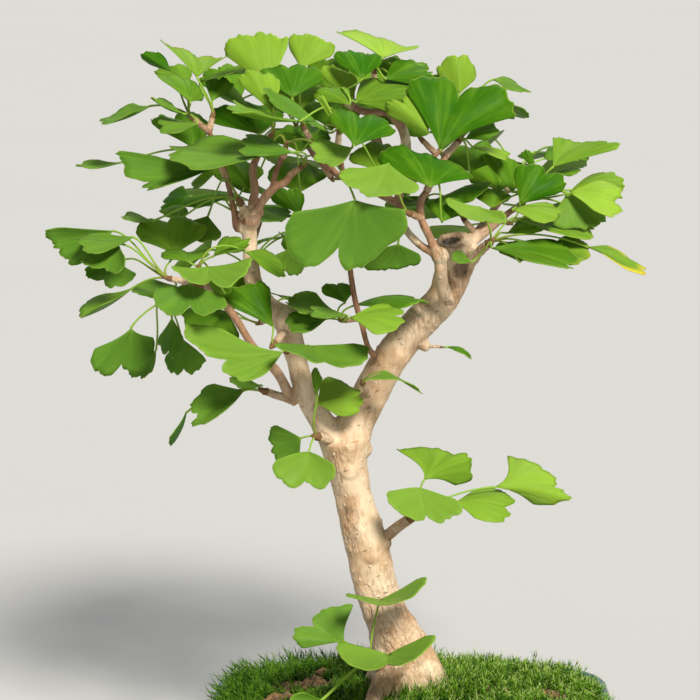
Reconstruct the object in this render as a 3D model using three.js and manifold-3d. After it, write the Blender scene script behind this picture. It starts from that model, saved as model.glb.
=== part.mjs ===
// A ginkgo bonsai in a glazed, rounded rectangular pot.
// Units are millimetres, +Z is up, and the tree's front faces -Y.
import * as THREE from 'three';
import { mergeVertices } from 'three/addons/utils/BufferGeometryUtils.js';
import Module from 'manifold-3d';

const wasm = await Module();
wasm.setup();

// Front view. The tree is laid out as it is seen by someone seated in front of it:
// places are given as across (from the left), down (from the top) and depth (mm behind
// the trunk), where across and down count half-millimetre steps on the sight plane.
const STEP = 0.5;
const GRID_MIDDLE = 350;
const EYE_DISTANCE = 1300;
const EYE_PITCH = 10 * Math.PI / 180;
const LOOK_AT_X = -33;
const LOOK_AT_Z = 239;
const EYE_BACK = EYE_DISTANCE * Math.cos(EYE_PITCH);
const EYE_RISE = EYE_DISTANCE * Math.sin(EYE_PITCH);

// Folds smaller than this are smoothed out of every finished solid.
const FINEST = 0.05;

// Pot
const RIM_HALF = [103, 77];
const RIM_CORNER = 32;
const BODY_INSET = 4;
const FOOT_INSET = 12;
const POT_HEIGHT = 52;
const FOOT_HEIGHT = 7;
const FLOOR_TOP = 12;
const WALL = 6;
const CORNER_STEPS = 4;
const DRAIN_RADIUS = 7;
const DRAIN_X = 48;
const FOOT_X = 68;
const FOOT_Y = 46;

// Fill
const GAP = 0.3;
const SOIL_RISE = 12.5;
const MOSS_THICK = 4.6;

// Foliage
const BLADE_THICK = 0.8;
const STALK_RADIUS = 0.75;
const BUD_LENGTH = 4.2;
const FAN_HALF_ANGLE = 1.15;
const EDGE_STEPS = [-1, -0.8, -0.48, -0.14, 0, 0.14, 0.48, 0.8, 1];
const STALK_STEPS = [0, 0.45, 1];
const CLEAR = 0.35;
const SLIDES = [0, 4, -4, 8, -8, 12, -12, 17, -17, 22, -22, 28, -28];
const BOWS = [0, 1, 2, -1];
const TURNS = [0, 0.45, -0.45, 0.9, -0.9, 1.4, -1.4, 1.9];

// Woody limbs: sides of the section, then [across, down, depth, width] along each limb.
const LIMBS = {
  trunk: [12, [
    [404, 716, -4, 84], [402, 694, -3, 70], [400, 670, -2, 62], [396, 640, 0, 55],
    [387, 618, 0, 47], [380, 600, 0, 44], [372, 570, 0, 44], [366, 540, 0, 45],
    [355, 500, 0, 38], [348, 464, 0, 42], [345, 440, 0, 50],
  ]],
  root_front_left: [6, [
    [400, 648, -9, 30], [392, 668, -15, 28], [380, 690, -23, 22], [368, 712, -32, 14],
  ]],
  root_right: [6, [
    [410, 636, -3, 30], [424, 662, -5, 30], [441, 687, -8, 24], [458, 708, -12, 14],
  ]],
  root_left: [6, [
    [392, 646, 4, 30], [379, 674, 5, 25], [366, 700, 6, 16],
  ]],
  root_back: [6, [
    [404, 646, 9, 30], [412, 660, 19, 26], [420, 674, 32, 16],
  ]],
  right_limb: [10, [
    [347, 452, 0, 42], [354, 424, 2, 40], [367, 400, 3, 37], [378, 378, 4, 36],
    [396, 350, 5, 36], [420, 322, 6, 34], [442, 300, 6, 34], [452, 278, 6, 36],
    [456, 259, 6, 42], [455, 240, 6, 39],
  ]],
  left_limb: [8, [
    [340, 450, 0, 36], [329, 432, -1, 29], [319, 416, -2, 24], [310, 402, -3, 22],
    [302, 380, -4, 22], [297, 360, -4, 21], [291, 338, -4, 25], [284, 318, -4, 24],
    [268, 302, -4, 15], [256, 287, -3, 17], [252, 274, -3, 17], [250, 246, -2, 15],
    [249, 230, -1, 16], [249, 217, -1, 17],
  ]],
  // Branches of the left limb
  left_twig: [5, [
    [247, 228, -1, 9], [237, 229, -3, 7], [234, 212, -5, 6], [231, 196, -6, 6],
    [226, 176, -6, 6], [217, 150, -4, 6], [208, 130, -2, 6],
  ]],
  left_middle: [5, [
    [250, 224, 0, 11], [252, 205, 1, 9], [255, 190, 2, 9], [253, 168, 3, 8],
    [262, 148, 0, 6],
  ]],
  left_right: [5, [
    [252, 222, -1, 11], [259, 207, -3, 9], [267, 195, -5, 9], [277, 186, -7, 8],
    [286, 182, -8, 8], [291, 173, -9, 7],
  ]],
  left_inner: [5, [
    [272, 191, -6, 7], [276, 172, -4, 6], [283, 156, -3, 6],
  ]],
  left_stub: [5, [
    [248, 224, -1, 10], [262, 211, -2, 8],
  ]],
  lower_left: [6, [
    [296, 402, -4, 12], [288, 392, -8, 11], [277, 372, -14, 10], [253, 346, -20, 8],
    [229, 309, -24, 8], [205, 290, -26, 7], [190, 282, -27, 6],
  ]],
  left_rear: [5, [
    [251, 262, -3, 11], [253, 240, 28, 9], [260, 215, 48, 7], [254, 192, 62, 6],
  ]],
  left_low_rear: [5, [
    [297, 370, -4, 12], [288, 342, 26, 9], [276, 312, 46, 7], [262, 286, 60, 6],
  ]],
  // Branches of the right limb and its sawn top
  thin_shoot: [5, [
    [378, 360, -2, 8], [368, 347, -12, 6], [362, 325, -17, 6], [355, 300, -18, 6],
    [350, 268, -15, 6], [349, 246, -10, 5],
  ]],
  front_shoot: [6, [
    [448, 306, -4, 16], [442, 284, -16, 13], [440, 260, -20, 13], [437, 252, -20, 12],
  ]],
  leader: [6, [
    [438, 256, -19, 9], [428, 250, -19, 8], [419, 244, -17, 8], [405, 228, -9, 8],
    [399, 205, -2, 8], [401, 172, 4, 10], [406, 148, 6, 11], [402, 128, 8, 10],
    [388, 112, 8, 8], [377, 98, 8, 7], [374, 80, 8, 6],
  ]],
  leader_twig: [5, [
    [386, 112, 8, 8], [366, 112, 4, 8], [352, 106, 3, 7],
  ]],
  red_shoot: [6, [
    [437, 255, -20, 10], [430, 238, -22, 8], [421, 218, -24, 8], [421, 201, -25, 8],
    [428, 189, -25, 7], [438, 170, -19, 7], [446, 155, -14, 7],
  ]],
  right_shoot: [6, [
    [462, 262, 0, 15], [476, 253, -3, 12], [482, 250, -5, 10],
  ]],
  right_rear: [6, [
    [462, 264, 12, 15], [476, 236, 32, 10], [492, 212, 50, 8], [506, 192, 64, 6],
  ]],
  right_high: [5, [
    [468, 246, 10, 12], [490, 228, 12, 9], [507, 214, 11, 7], [514, 209, 10, 6],
  ]],
  crown_left: [5, [
    [400, 204, -1, 8], [370, 190, 10, 7], [340, 176, 16, 6], [320, 154, 17, 6],
    [309, 138, 16, 6],
  ]],
  crown_front: [5, [
    [344, 178, 15, 6], [340, 158, 4, 6], [338, 142, -3, 6],
  ]],
  crown_rear: [5, [
    [402, 172, 6, 9], [390, 156, 30, 8], [374, 140, 54, 7], [362, 126, 68, 6],
  ]],
  crown_right_rear: [5, [
    [402, 188, 4, 9], [420, 170, 26, 7], [440, 150, 46, 6], [454, 132, 60, 6],
  ]],
  crown_rear_left: [5, [
    [338, 176, 16, 6], [318, 160, 36, 6], [304, 140, 54, 6],
  ]],
};

// Knobs and healed scars: [across, down, depth, radius in mm]
const KNOBS = [
  [363, 449, 2, 5], [288, 320, -5, 8], [425, 346, 3, 3.2], [372, 556, -6, 6],
  [350, 470, -5, 7], [394, 642, -8, 7], [411, 658, -8, 7], [250, 220, -2, 5.5],
  [440, 256, -20, 4.5], [384, 543, -4, 4], [468, 254, 4, 7],
];
const STUMP_HOLLOW = { at: [452, 234, 5], radius: 6.5, depth: 9 };

// Short shoots that carry the leaves: [from across, down, depth, tip across, down, depth, width]
const SPURS = {
  low_right: [374, 545, 0, 409, 519, -10, 11],
  basal: [384, 668, -14, 373, 662, -25, 8],
  trunk_left: [332, 440, -6, 319, 437, -13, 9],
  limb_left: [292, 400, -6, 267, 392, -12, 8],
  knuckle: [296, 352, -4, 287, 351, -17, 8],
  lower_end: [190, 283, -27, 168, 298, -21, 6],
  lower_left: [192, 283, -27, 172, 279, -28, 6],
  lower_mid: [210, 293, -26, 201, 273, -30, 6],
  knob_front: [287, 330, -8, 275, 343, -19, 8],
  knob_left: [248, 218, -4, 241, 204, -11, 8],
  twig_left: [226, 178, -6, 220, 165, -12, 6],
  top_left: [208, 131, -2, 194, 119, -4, 6],
  top_left_right: [209, 131, -2, 212, 119, 2, 6],
  top_mid: [261, 150, 0, 270, 137, -5, 6],
  elbow: [290, 175, -9, 300, 168, -11, 6],
  inner_top: [283, 158, -3, 285, 150, -4, 6],
  crown_left: [310, 140, 16, 305, 130, 16, 6],
  crown_front: [338, 144, -3, 339, 133, -7, 6],
  leader_side: [353, 107, 3, 345, 102, 1, 7],
  leader_top: [374, 82, 8, 374, 74, 8, 6],
  red_end: [445, 156, -14, 457, 143, -9, 7],
  red_mid: [427, 190, -25, 432, 181, -29, 7],
  red_low: [422, 218, -24, 411, 214, -28, 7],
  right: [481, 250, -5, 488, 244, -9, 9],
  right_high: [513, 210, 10, 521, 204, 9, 6],
  thin_side: [360, 318, -17, 346, 320, -24, 6],
  thin_top: [349, 248, -10, 344, 240, -6, 6],
  limb_bud: [369, 396, -3, 363, 384, -16, 6],
  limb_right: [426, 346, 2, 440, 347, 0, 6],
  rear_a: [255, 194, 61, 250, 182, 70, 6],
  rear_b: [258, 220, 46, 240, 214, 54, 6],
  rear_c: [263, 288, 58, 254, 274, 66, 6],
  rear_d: [278, 316, 42, 262, 322, 50, 6],
  rear_e: [505, 194, 63, 512, 182, 71, 6],
  rear_f: [490, 216, 47, 506, 222, 54, 6],
  rear_g: [362, 128, 67, 356, 116, 74, 6],
  rear_h: [380, 146, 46, 376, 130, 50, 6],
  rear_i: [453, 134, 59, 460, 122, 66, 6],
  rear_j: [436, 154, 42, 424, 142, 46, 6],
  rear_k: [305, 142, 53, 298, 130, 60, 6],
  rear_l: [322, 164, 31, 330, 176, 38, 6],
  rear_m: [478, 236, 31, 466, 222, 38, 6],
};

// Leaves placed one by one. Each row: the shoot that carries it; where the blade meets its
// stalk (across, down, depth); its first side corner, the middle of its outer edge and its
// second side corner (across, down); the blade's reach in mm; lean (+1 tips away, -1 towards
// the front); twist (the first corner leans back by this much more, the second by as much
// less); and the depth of the cleft.
const LEAVES = [
  ['low_right', 424, 480, -12, 394, 450, 458, 452, 468, 484, 30, 0.9, 0.1, 0.1],
  ['low_right', 421, 488, -16, 378, 494, 429, 524, 466, 503, 26, -0.9, 0, 0.34],
  ['low_right', 455, 503, -12, 482, 484, 515, 508, 480, 525, 31, 0.2, 0.6, 0.16],
  ['low_right', 495, 487, -4, 507, 456, 566, 485, 546, 509, 38, 0.5, 0.3, 0.14],
  ['basal', 380, 600, -22, 341, 590, 387, 603, 437, 573, 32, -0.9, 0, 0.04],
  ['basal', 345, 642, -30, 354, 602, 304, 621, 297, 649, 26, 0.3, 0.5, 0.2],
  ['basal', 388, 655, -40, 326, 638, 388, 671, 439, 626, 33, -0.9, 0, 0.42],
  ['basal', 322, 700, -40, 300, 690, 286, 712, 304, 728, 22, -0.7, 0.3, 0.4],
  ['trunk_left', 318, 404, -18, 321, 373, 362, 396, 343, 418, 24, 0.4, 0.5, 0.1],
  ['trunk_left', 301, 438, -14, 277, 424, 269, 447, 296, 474, 24, 0.6, 0.3, 0.1],
  ['trunk_left', 309, 452, -22, 268, 461, 304, 491, 341, 466, 23, -0.8, 0, 0.2],
  ['limb_left', 243, 391, -17, 208, 380, 190, 418, 222, 416, 30, -0.4, 0.5, 0.1],
  ['limb_left', 186, 413, -4, 182, 428, 171, 444, 172, 436, 21, 0, 0.9, 0.1],
  ['limb_left', 261, 386, 10, 240, 374, 228, 380, 244, 389, 19, 0.5, 0.5, 0.2],
  ['knuckle', 282, 352, -26, 186, 312, 208, 364, 264, 377, 54, -0.5, -0.2, 0.24],
  ['knuckle', 310, 346, -26, 268, 339, 329, 366, 376, 347, 34, -0.8, 0, 0.26],
  ['lower_end', 131, 328, -20, 86, 352, 119, 379, 160, 341, 27, 0.5, -0.4, 0.25],
  ['lower_end', 172, 318, -8, 157, 340, 168, 357, 186, 345, 20, 0.5, 0.3, 0.14],
  ['lower_end', 181, 338, -4, 161, 362, 185, 375, 209, 360, 22, 0.5, 0.2, 0.17],
  ['lower_end', 156, 350, 2, 128, 367, 138, 379, 155, 368, 19, 0.4, 0.4, 0.11],
  ['lower_left', 113, 231, -6, 46, 227, 54, 250, 80, 268, 38, 0.3, 0.3, 0.12],
  ['lower_left', 133, 237, -16, 92, 231, 76, 242, 98, 253, 29, 0, 0.8, 0.11],
  ['lower_left', 118, 244, -24, 77, 257, 102, 272, 128, 264, 23, -0.7, 0.2, 0.15],
  ['lower_left', 131, 289, -18, 98, 296, 78, 316, 106, 306, 30, 0.1, 0.8, 0.06],
  ['lower_left', 176, 286, -8, 150, 280, 131, 290, 156, 299, 24, 0.3, 0.6, 0.11],
  ['lower_left', 175, 254, -10, 131, 238, 166, 215, 211, 233, 27, 0.8, 0.1, 0.14],
  ['knob_left', 178, 219, 6, 156, 213, 172, 206, 190, 211, 18, 0.8, 0, 0.11],
  ['knob_left', 152, 221, 2, 134, 213, 122, 217, 136, 223, 16, 0.3, 0.7, 0.06],
  ['lower_mid', 190, 263, -24, 157, 256, 186, 250, 213, 257, 21, 0.9, 0, 0.11],
  ['lower_mid', 214, 256, -22, 220, 240, 244, 237, 248, 250, 20, 0.6, 0.2, 0.06],
  ['lower_mid', 208, 267, -28, 168, 264, 213, 287, 260, 259, 28, -0.9, 0, 0.4],
  ['lower_mid', 246, 252, -16, 270, 246, 286, 274, 260, 266, 24, 0.4, 0.5, 0.08],
  ['lower_mid', 190, 284, -36, 146, 291, 190, 319, 232, 295, 24, -0.8, 0, 0.36],
  ['knob_front', 273, 327, -24, 217, 302, 238, 286, 270, 284, 32, 0.4, -0.1, 0.02],
  ['twig_left', 212, 168, -20, 113, 148, 133, 181, 164, 190, 51, -0.1, 0.6, 0.22],
  ['twig_left', 119, 163, 8, 92, 161, 75, 165, 90, 168, 23, 0, 0.8, 0.06],
  ['elbow', 276, 151, -20, 212, 131, 167, 155, 224, 165, 56, -0.1, 0.7, 0.04],
  ['elbow', 292, 152, -20, 262, 130, 240, 146, 262, 158, 28, 0, 0.6, 0.11],
  ['knob_left', 243, 206, 8, 250, 226, 291, 216, 268, 205, 28, 0, -0.7, 0.06],
  ['top_left', 172, 73, 14, 142, 61, 147, 51, 165, 56, 20, 0.5, 0.2, 0.04],
  ['top_left', 187, 89, -8, 156, 77, 164, 66, 194, 69, 22, 0.7, 0.1, 0.17],
  ['top_left', 190, 102, -14, 153, 76, 182, 76, 207, 99, 23, 0.7, 0.1, 0.17],
  ['top_left_right', 197, 77, -2, 161, 38, 196, 54, 230, 54, 30, 0.7, 0, 0.17],
  ['top_left_right', 200, 82, 16, 236, 66, 248, 69, 234, 76, 27, 0, 0.8, 0.06],
  ['top_left_right', 212, 101, 6, 204, 82, 220, 77, 235, 87, 18, 0.6, 0, 0.11],
  ['top_mid', 250, 108, 18, 234, 85, 211, 85, 220, 100, 22, 0.2, 0.5, 0.11],
  ['top_left', 184, 114, -18, 166, 101, 151, 97, 160, 104, 20, 0.4, 0.5, 0.03],
  ['top_left', 150, 106, -10, 128, 102, 99, 123, 124, 114, 28, 0, 0.8, 0.03],
  ['top_left', 197, 124, -18, 173, 117, 158, 126, 178, 136, 21, 0, 0.8, 0.11],
  ['top_mid', 258, 134, 20, 208, 122, 232, 104, 290, 112, 30, 0.5, 0, 0.11],
  ['top_mid', 270, 88, -10, 218, 49, 253, 33, 291, 40, 35, 0.5, 0.1, 0.02],
  ['crown_left', 301, 68, 0, 287, 46, 307, 33, 341, 54, 23, 0.7, 0, 0.02],
  ['crown_left', 292, 98, -16, 256, 74, 288, 64, 330, 76, 25, 0.8, 0, 0.14],
  ['top_mid', 272, 112, -20, 237, 80, 254, 71, 283, 80, 25, 0.6, 0, 0.03],
  ['crown_front', 330, 133, -22, 286, 96, 264, 88, 276, 104, 40, 0.1, 0.4, 0.06],
  ['crown_front', 301, 121, -26, 246, 104, 230, 105, 240, 112, 37, 0, 0.6, 0.06],
  ['crown_front', 341, 133, -30, 318, 101, 321, 96, 328, 103, 21, 0.2, 0, 0],
  ['leader_top', 383, 58, -2, 334, 28, 377, 37, 424, 48, 30, 0.8, 0, 0.1],
  ['leader_side', 362, 79, -8, 331, 60, 354, 50, 386, 62, 20, 0.8, 0, 0.05],
  ['leader_top', 386, 79, -6, 393, 60, 433, 70, 414, 84, 25, 0.3, 0.5, 0.14],
  ['leader_side', 356, 102, -18, 362, 76, 430, 92, 434, 130, 42, 0.3, 0.2, 0.1],
  ['leader_side', 350, 105, -24, 311, 98, 328, 87, 350, 89, 22, 0.7, 0.1, 0.11],
  ['crown_front', 355, 146, -34, 324, 117, 362, 112, 400, 134, 26, 0.8, 0, 0.1],
  ['crown_front', 352, 148, -36, 322, 137, 311, 154, 340, 169, 23, -0.3, 0.6, 0.14],
  ['red_low', 388, 164, -40, 333, 172, 374, 195, 426, 189, 30, -0.8, 0, 0.05],
  ['red_mid', 430, 187, -36, 374, 164, 416, 148, 475, 181, 34, 0.8, 0, 0.08],
  ['red_end', 440, 150, -24, 402, 86, 465, 77, 523, 112, 46, 0.6, 0, 0.26],
  ['red_end', 459, 94, 4, 434, 73, 456, 55, 480, 74, 22, 0.6, 0, 0.02],
  ['red_end', 428, 132, -30, 385, 114, 398, 98, 434, 102, 25, 0.6, 0.1, 0.14],
  ['red_end', 466, 139, -16, 477, 121, 498, 128, 487, 141, 18, 0.4, 0.4, 0],
  ['right_high', 553, 167, 4, 553, 137, 589, 141, 625, 145, 38, 0.5, 0, 0.03],
  ['right_high', 534, 169, 16, 520, 155, 527, 150, 534, 158, 11, 0.5, 0, 0.05],
  ['red_end', 474, 148, 4, 498, 148, 510, 157, 494, 158, 21, 0, 0.7, 0.06],
  ['right_high', 520, 204, 0, 512, 168, 549, 168, 568, 192, 27, 0.5, 0, 0.1],
  ['right_high', 556, 173, 14, 571, 166, 581, 170, 571, 176, 14, 0.2, 0.6, 0.06],
  ['right_high', 572, 190, 12, 590, 173, 619, 177, 622, 200, 27, 0.3, 0.3, 0.05],
  ['right_high', 570, 193, -4, 600, 176, 625, 203, 601, 219, 29, -0.1, 0.6, 0.26],
  ['right_high', 567, 193, -12, 546, 222, 590, 229, 605, 211, 24, -0.6, 0, 0.06],
  ['right_high', 513, 210, -14, 545, 202, 563, 212, 541, 223, 26, 0, 0.6, 0.05],
  ['right', 514, 218, -16, 556, 221, 597, 231, 556, 236, 42, -0.1, 0.5, 0.04],
  ['right', 480, 207, -22, 439, 196, 486, 224, 509, 210, 21, -0.9, 0, 0.08],
  ['red_mid', 442, 222, -36, 423, 205, 446, 197, 470, 211, 18, 0.8, 0, 0.14],
  ['right_high', 492, 208, 16, 472, 196, 493, 188, 513, 198, 16, 0.8, 0, 0.11],
  ['right_high', 512, 192, 12, 477, 151, 508, 157, 537, 168, 26, 0.5, 0, 0.05],
  ['right', 492, 248, -18, 546, 238, 578, 263, 540, 269, 46, -0.3, 0.6, 0.14],
  ['right', 548, 249, -4, 566, 235, 591, 248, 572, 268, 23, 0.1, 0.6, 0.12],
  ['right', 588, 247, -6, 614, 244, 647, 274, 610, 257, 33, 0, 0.5, 0.03],
  ['right', 508, 233, 4, 522, 215, 546, 223, 530, 236, 20, 0.4, 0.3, 0.11],
  ['inner_top', 355, 200, -50, 278, 213, 330, 276, 417, 212, 40, -0.35, 0, 0.34],
  ['red_low', 398, 244, -22, 355, 257, 388, 272, 426, 256, 24, 0.3, 0, 0.14],
  ['thin_top', 296, 246, 4, 268, 257, 284, 276, 307, 266, 18, 0.3, 0, 0.14],
  ['thin_top', 300, 214, 14, 268, 200, 286, 187, 306, 197, 20, 0.4, 0.1, 0.11],
  ['thin_side', 347, 315, -32, 322, 304, 310, 311, 326, 319, 20, 0, 0.6, 0.11],
  ['thin_side', 350, 318, -40, 384, 301, 406, 318, 378, 335, 29, -0.2, 0.6, 0.22],
  ['thin_side', 334, 311, -14, 310, 290, 286, 301, 304, 314, 27, 0, 0.6, 0.11],
  ['thin_side', 345, 303, -6, 318, 293, 336, 282, 356, 290, 17, 0.7, 0, 0.11],
  ['thin_side', 356, 305, -26, 394, 296, 428, 301, 396, 308, 40, 0, 0.6, 0.06],
  ['thin_side', 326, 319, -20, 298, 311, 285, 325, 306, 336, 22, -0.1, 0.6, 0.14],
  ['limb_bud', 386, 371, -24, 361, 383, 394, 380, 425, 394, 24, -0.4, 0, 0.03],
  ['limb_right', 448, 347, 0, 460, 347, 472, 358, 458, 352, 14, 0, 0.5, 0.06],
  ['trunk_left', 317, 396, -8, 311, 372, 317, 368, 322, 379, 14, 0.3, 0.4, 0],
  ['right', 472, 262, -20, 459, 249, 451, 258, 462, 264, 12, 0.2, 0.3, 0.1],
  ['leader_side', 352, 99, -14, 318, 73, 336, 66, 358, 80, 20, 0.6, 0, 0.04],
  // Leaves in the shade between the outer ones
  ['twig_left', 196, 150, 18, 150, 128, 170, 112, 214, 124, 28, 0.8, 0, 0.14],
  ['top_mid', 240, 100, 26, 198, 86, 214, 66, 250, 74, 26, 0.7, 0, 0.14],
  ['inner_top', 250, 190, 12, 212, 176, 232, 160, 268, 170, 25, 0.7, 0, 0.11],
  ['crown_left', 300, 110, 30, 262, 94, 292, 78, 330, 92, 26, 0.8, 0, 0.17],
  ['crown_left', 332, 130, 30, 298, 113, 330, 98, 366, 112, 27, 0.8, 0, 0.11],
  ['leader_side', 330, 90, 16, 298, 74, 326, 58, 352, 72, 24, 0.8, 0, 0.17],
  ['leader_top', 402, 86, 14, 372, 68, 404, 57, 432, 70, 24, 0.8, 0, 0.17],
  ['leader_top', 420, 112, 20, 388, 98, 420, 84, 450, 98, 26, 0.8, 0, 0.11],
  ['red_end', 470, 172, 8, 436, 158, 470, 143, 505, 156, 28, 0.8, 0, 0.17],
  ['red_end', 486, 120, 14, 460, 102, 488, 89, 512, 104, 22, 0.7, 0, 0.11],
  ['right_high', 500, 192, 26, 462, 178, 498, 161, 532, 176, 28, 0.8, 0, 0.17],
  ['right_high', 590, 213, 22, 560, 200, 592, 188, 618, 204, 24, 0.8, 0, 0.11],
  ['crown_front', 300, 152, 6, 262, 140, 296, 124, 336, 138, 28, 0.8, 0, 0.17],
  ['crown_front', 380, 172, 12, 344, 158, 382, 143, 416, 156, 26, 0.8, 0, 0.11],
  ['knob_left', 208, 216, 22, 172, 226, 188, 241, 226, 236, 24, -0.7, 0, 0.11],
  ['lower_left', 118, 262, 8, 84, 264, 100, 285, 140, 278, 26, -0.6, 0, 0.17],
  ['lower_mid', 232, 302, 2, 204, 287, 230, 272, 262, 288, 24, 0.7, 0, 0.11],
  ['inner_top', 300, 192, 22, 262, 178, 296, 161, 334, 176, 26, 0.8, 0, 0.17],
  ['right', 520, 262, 12, 492, 250, 522, 240, 552, 252, 22, 0.7, 0, 0.11],
];

// Shoots at the back, with the number of leaves that spread round each.
const REAR_SHOOTS = [
  ['rear_a', 4], ['rear_b', 4], ['rear_c', 4], ['rear_d', 4], ['rear_e', 4],
  ['rear_f', 4], ['rear_g', 4], ['rear_h', 3], ['rear_i', 4], ['rear_j', 3],
  ['rear_k', 4], ['rear_l', 3], ['rear_m', 4],
];

const COLOURS = {
  leaf: 0x6fa32a, wood: 0xb59a78, moss: 0x4f7f22, soil: 0x6b4a32,
  pot: 0x1f5a66, screen: 0x2b2b2b,
};

// ---------------------------------------------------------------- helpers

function seen(across, down, depth) {
  const right = (across - GRID_MIDDLE) * STEP;
  const up = (GRID_MIDDLE - down) * STEP;
  const ahead = EYE_BACK + up * Math.sin(EYE_PITCH);
  const below = EYE_RISE - up * Math.cos(EYE_PITCH);
  const reach = (depth + EYE_BACK) / ahead;
  return new THREE.Vector3(LOOK_AT_X + right * reach, depth, LOOK_AT_Z + EYE_RISE - below * reach);
}

// A number from 0 to 1 that is always the same for the same two counts.
function scatter(a, b) {
  const value = Math.sin(a * 12.9898 + b * 78.233) * 43758.5453;
  return value - Math.floor(value);
}

function toSolid(geometry) {
  return new wasm.Manifold(new wasm.Mesh({
    numProp: 3,
    vertProperties: new Float32Array(geometry.attributes.position.array),
    triVerts: new Uint32Array(geometry.index.array),
  }));
}

function solidFrom(points, triangles) {
  const geometry = new THREE.BufferGeometry();
  const numbers = points.flatMap((p) => [p.x, p.y, p.z]);
  geometry.setAttribute('position', new THREE.Float32BufferAttribute(numbers, 3));
  geometry.setIndex(triangles.flat());
  return toSolid(geometry);
}

function solidFromThree(geometry) {
  geometry.deleteAttribute('normal');
  geometry.deleteAttribute('uv');
  return toSolid(mergeVertices(geometry, 1e-4));
}

function uniteAll(solids) {
  return solids.reduce((sum, next) => sum.add(next));
}

function touches(first, second) {
  const a = first.boundingBox();
  const b = second.boundingBox();
  const apart = [0, 1, 2].some((i) => a.min[i] > b.max[i] || b.min[i] > a.max[i]);
  return !apart && first.intersect(second).volume() > 1e-5;
}

function toMesh(name, solid, colour, roughness, finest = FINEST) {
  const made = solid.asOriginal().simplify(finest).getMesh();
  const geometry = new THREE.BufferGeometry();
  geometry.setAttribute('position', new THREE.BufferAttribute(made.vertProperties, 3));
  geometry.setIndex(new THREE.BufferAttribute(made.triVerts, 1));
  const material = new THREE.MeshStandardMaterial({ color: colour, roughness, metalness: 0 });
  const mesh = new THREE.Mesh(geometry, material);
  mesh.name = name;
  return mesh;
}

// A closed tube through stations of { at, radius }, with a rounded far end.
function tube(stations, sides) {
  const points = [];
  const triangles = [];
  const last = stations.length - 1;
  let normal = null;
  let along = null;
  stations.forEach((station, k) => {
    const next = stations[Math.min(k + 1, last)].at;
    const before = stations[Math.max(k - 1, 0)].at;
    along = next.clone().sub(before).normalize();
    const guide = normal ?? (Math.abs(along.x) < 0.8 ? new THREE.Vector3(1, 0, 0) : new THREE.Vector3(0, 1, 0));
    normal = guide.clone().addScaledVector(along, -guide.dot(along)).normalize();
    const side = along.clone().cross(normal);
    for (let j = 0; j < sides; j += 1) {
      const angle = 2 * Math.PI * j / sides;
      points.push(station.at.clone()
        .addScaledVector(normal, station.radius * Math.cos(angle))
        .addScaledVector(side, station.radius * Math.sin(angle)));
    }
  });
  const start = points.push(stations[0].at.clone()) - 1;
  const end = points.push(stations[last].at.clone().addScaledVector(along, stations[last].radius * 0.4)) - 1;
  for (let j = 0; j < sides; j += 1) {
    const jn = (j + 1) % sides;
    for (let k = 0; k < last; k += 1) {
      const a = k * sides + j;
      const b = k * sides + jn;
      triangles.push([a, b, b + sides], [a, b + sides, a + sides]);
    }
    triangles.push([start, jn, j], [end, last * sides + j, last * sides + jn]);
  }
  return solidFrom(points, triangles);
}

// ---------------------------------------------------------------- wood

function limbStations(rows, grow) {
  return rows.map(([across, down, depth, width]) => ({
    at: seen(across, down, depth),
    radius: width * STEP / 2 + grow,
  }));
}

function limb(name, grow = 0) {
  const [sides, rows] = LIMBS[name];
  return tube(limbStations(rows, grow), sides);
}

function knob([across, down, depth, radius]) {
  const ball = new THREE.IcosahedronGeometry(radius, 1);
  const at = seen(across, down, depth);
  ball.translate(at.x, at.y, at.z);
  return solidFromThree(ball);
}

function spurEnds(name) {
  const row = SPURS[name];
  const from = seen(row[0], row[1], row[2]);
  const tip = seen(row[3], row[4], row[5]);
  return { from, tip, radius: row[6] * STEP / 2, along: tip.clone().sub(from).normalize() };
}

function spur(name) {
  const { from, tip, radius } = spurEnds(name);
  return tube([{ at: from, radius }, { at: tip, radius }], 5);
}

function stumpHollow() {
  const cone = new THREE.ConeGeometry(STUMP_HOLLOW.radius, STUMP_HOLLOW.depth * 2, 9, 1);
  const at = seen(...STUMP_HOLLOW.at);
  cone.rotateX(-Math.PI / 2);
  cone.translate(at.x, at.y, at.z);
  return solidFromThree(cone);
}

const ROOTS = ['trunk', 'root_front_left', 'root_right', 'root_left', 'root_back'];
const SPUR_NAMES = Object.keys(SPURS);

const wood = uniteAll([
  ...Object.keys(LIMBS).map((name) => limb(name)),
  ...KNOBS.map(knob),
  ...SPUR_NAMES.map(spur),
]).subtract(stumpHollow());

// ---------------------------------------------------------------- leaves

// The fan of a placed leaf: its base, and the ways from there to its two corners and middle.
function placedFan(row, slide) {
  const [, across, down, depth, ax, ay, mx, my, cx, cy, reach, lean, twist, cleft] = row;
  const base = seen(across, down, depth + slide);
  const arm = (x, y, way) => {
    const flat = seen(x, y, depth + slide).distanceTo(base);
    const away = way * Math.sqrt(Math.max(reach * reach - flat * flat, 0));
    return seen(x, y, depth + slide + away).sub(base);
  };
  return {
    base,
    first: arm(ax, ay, lean + twist),
    middle: arm(mx, my, lean),
    second: arm(cx, cy, lean - twist),
    cleft,
  };
}

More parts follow.
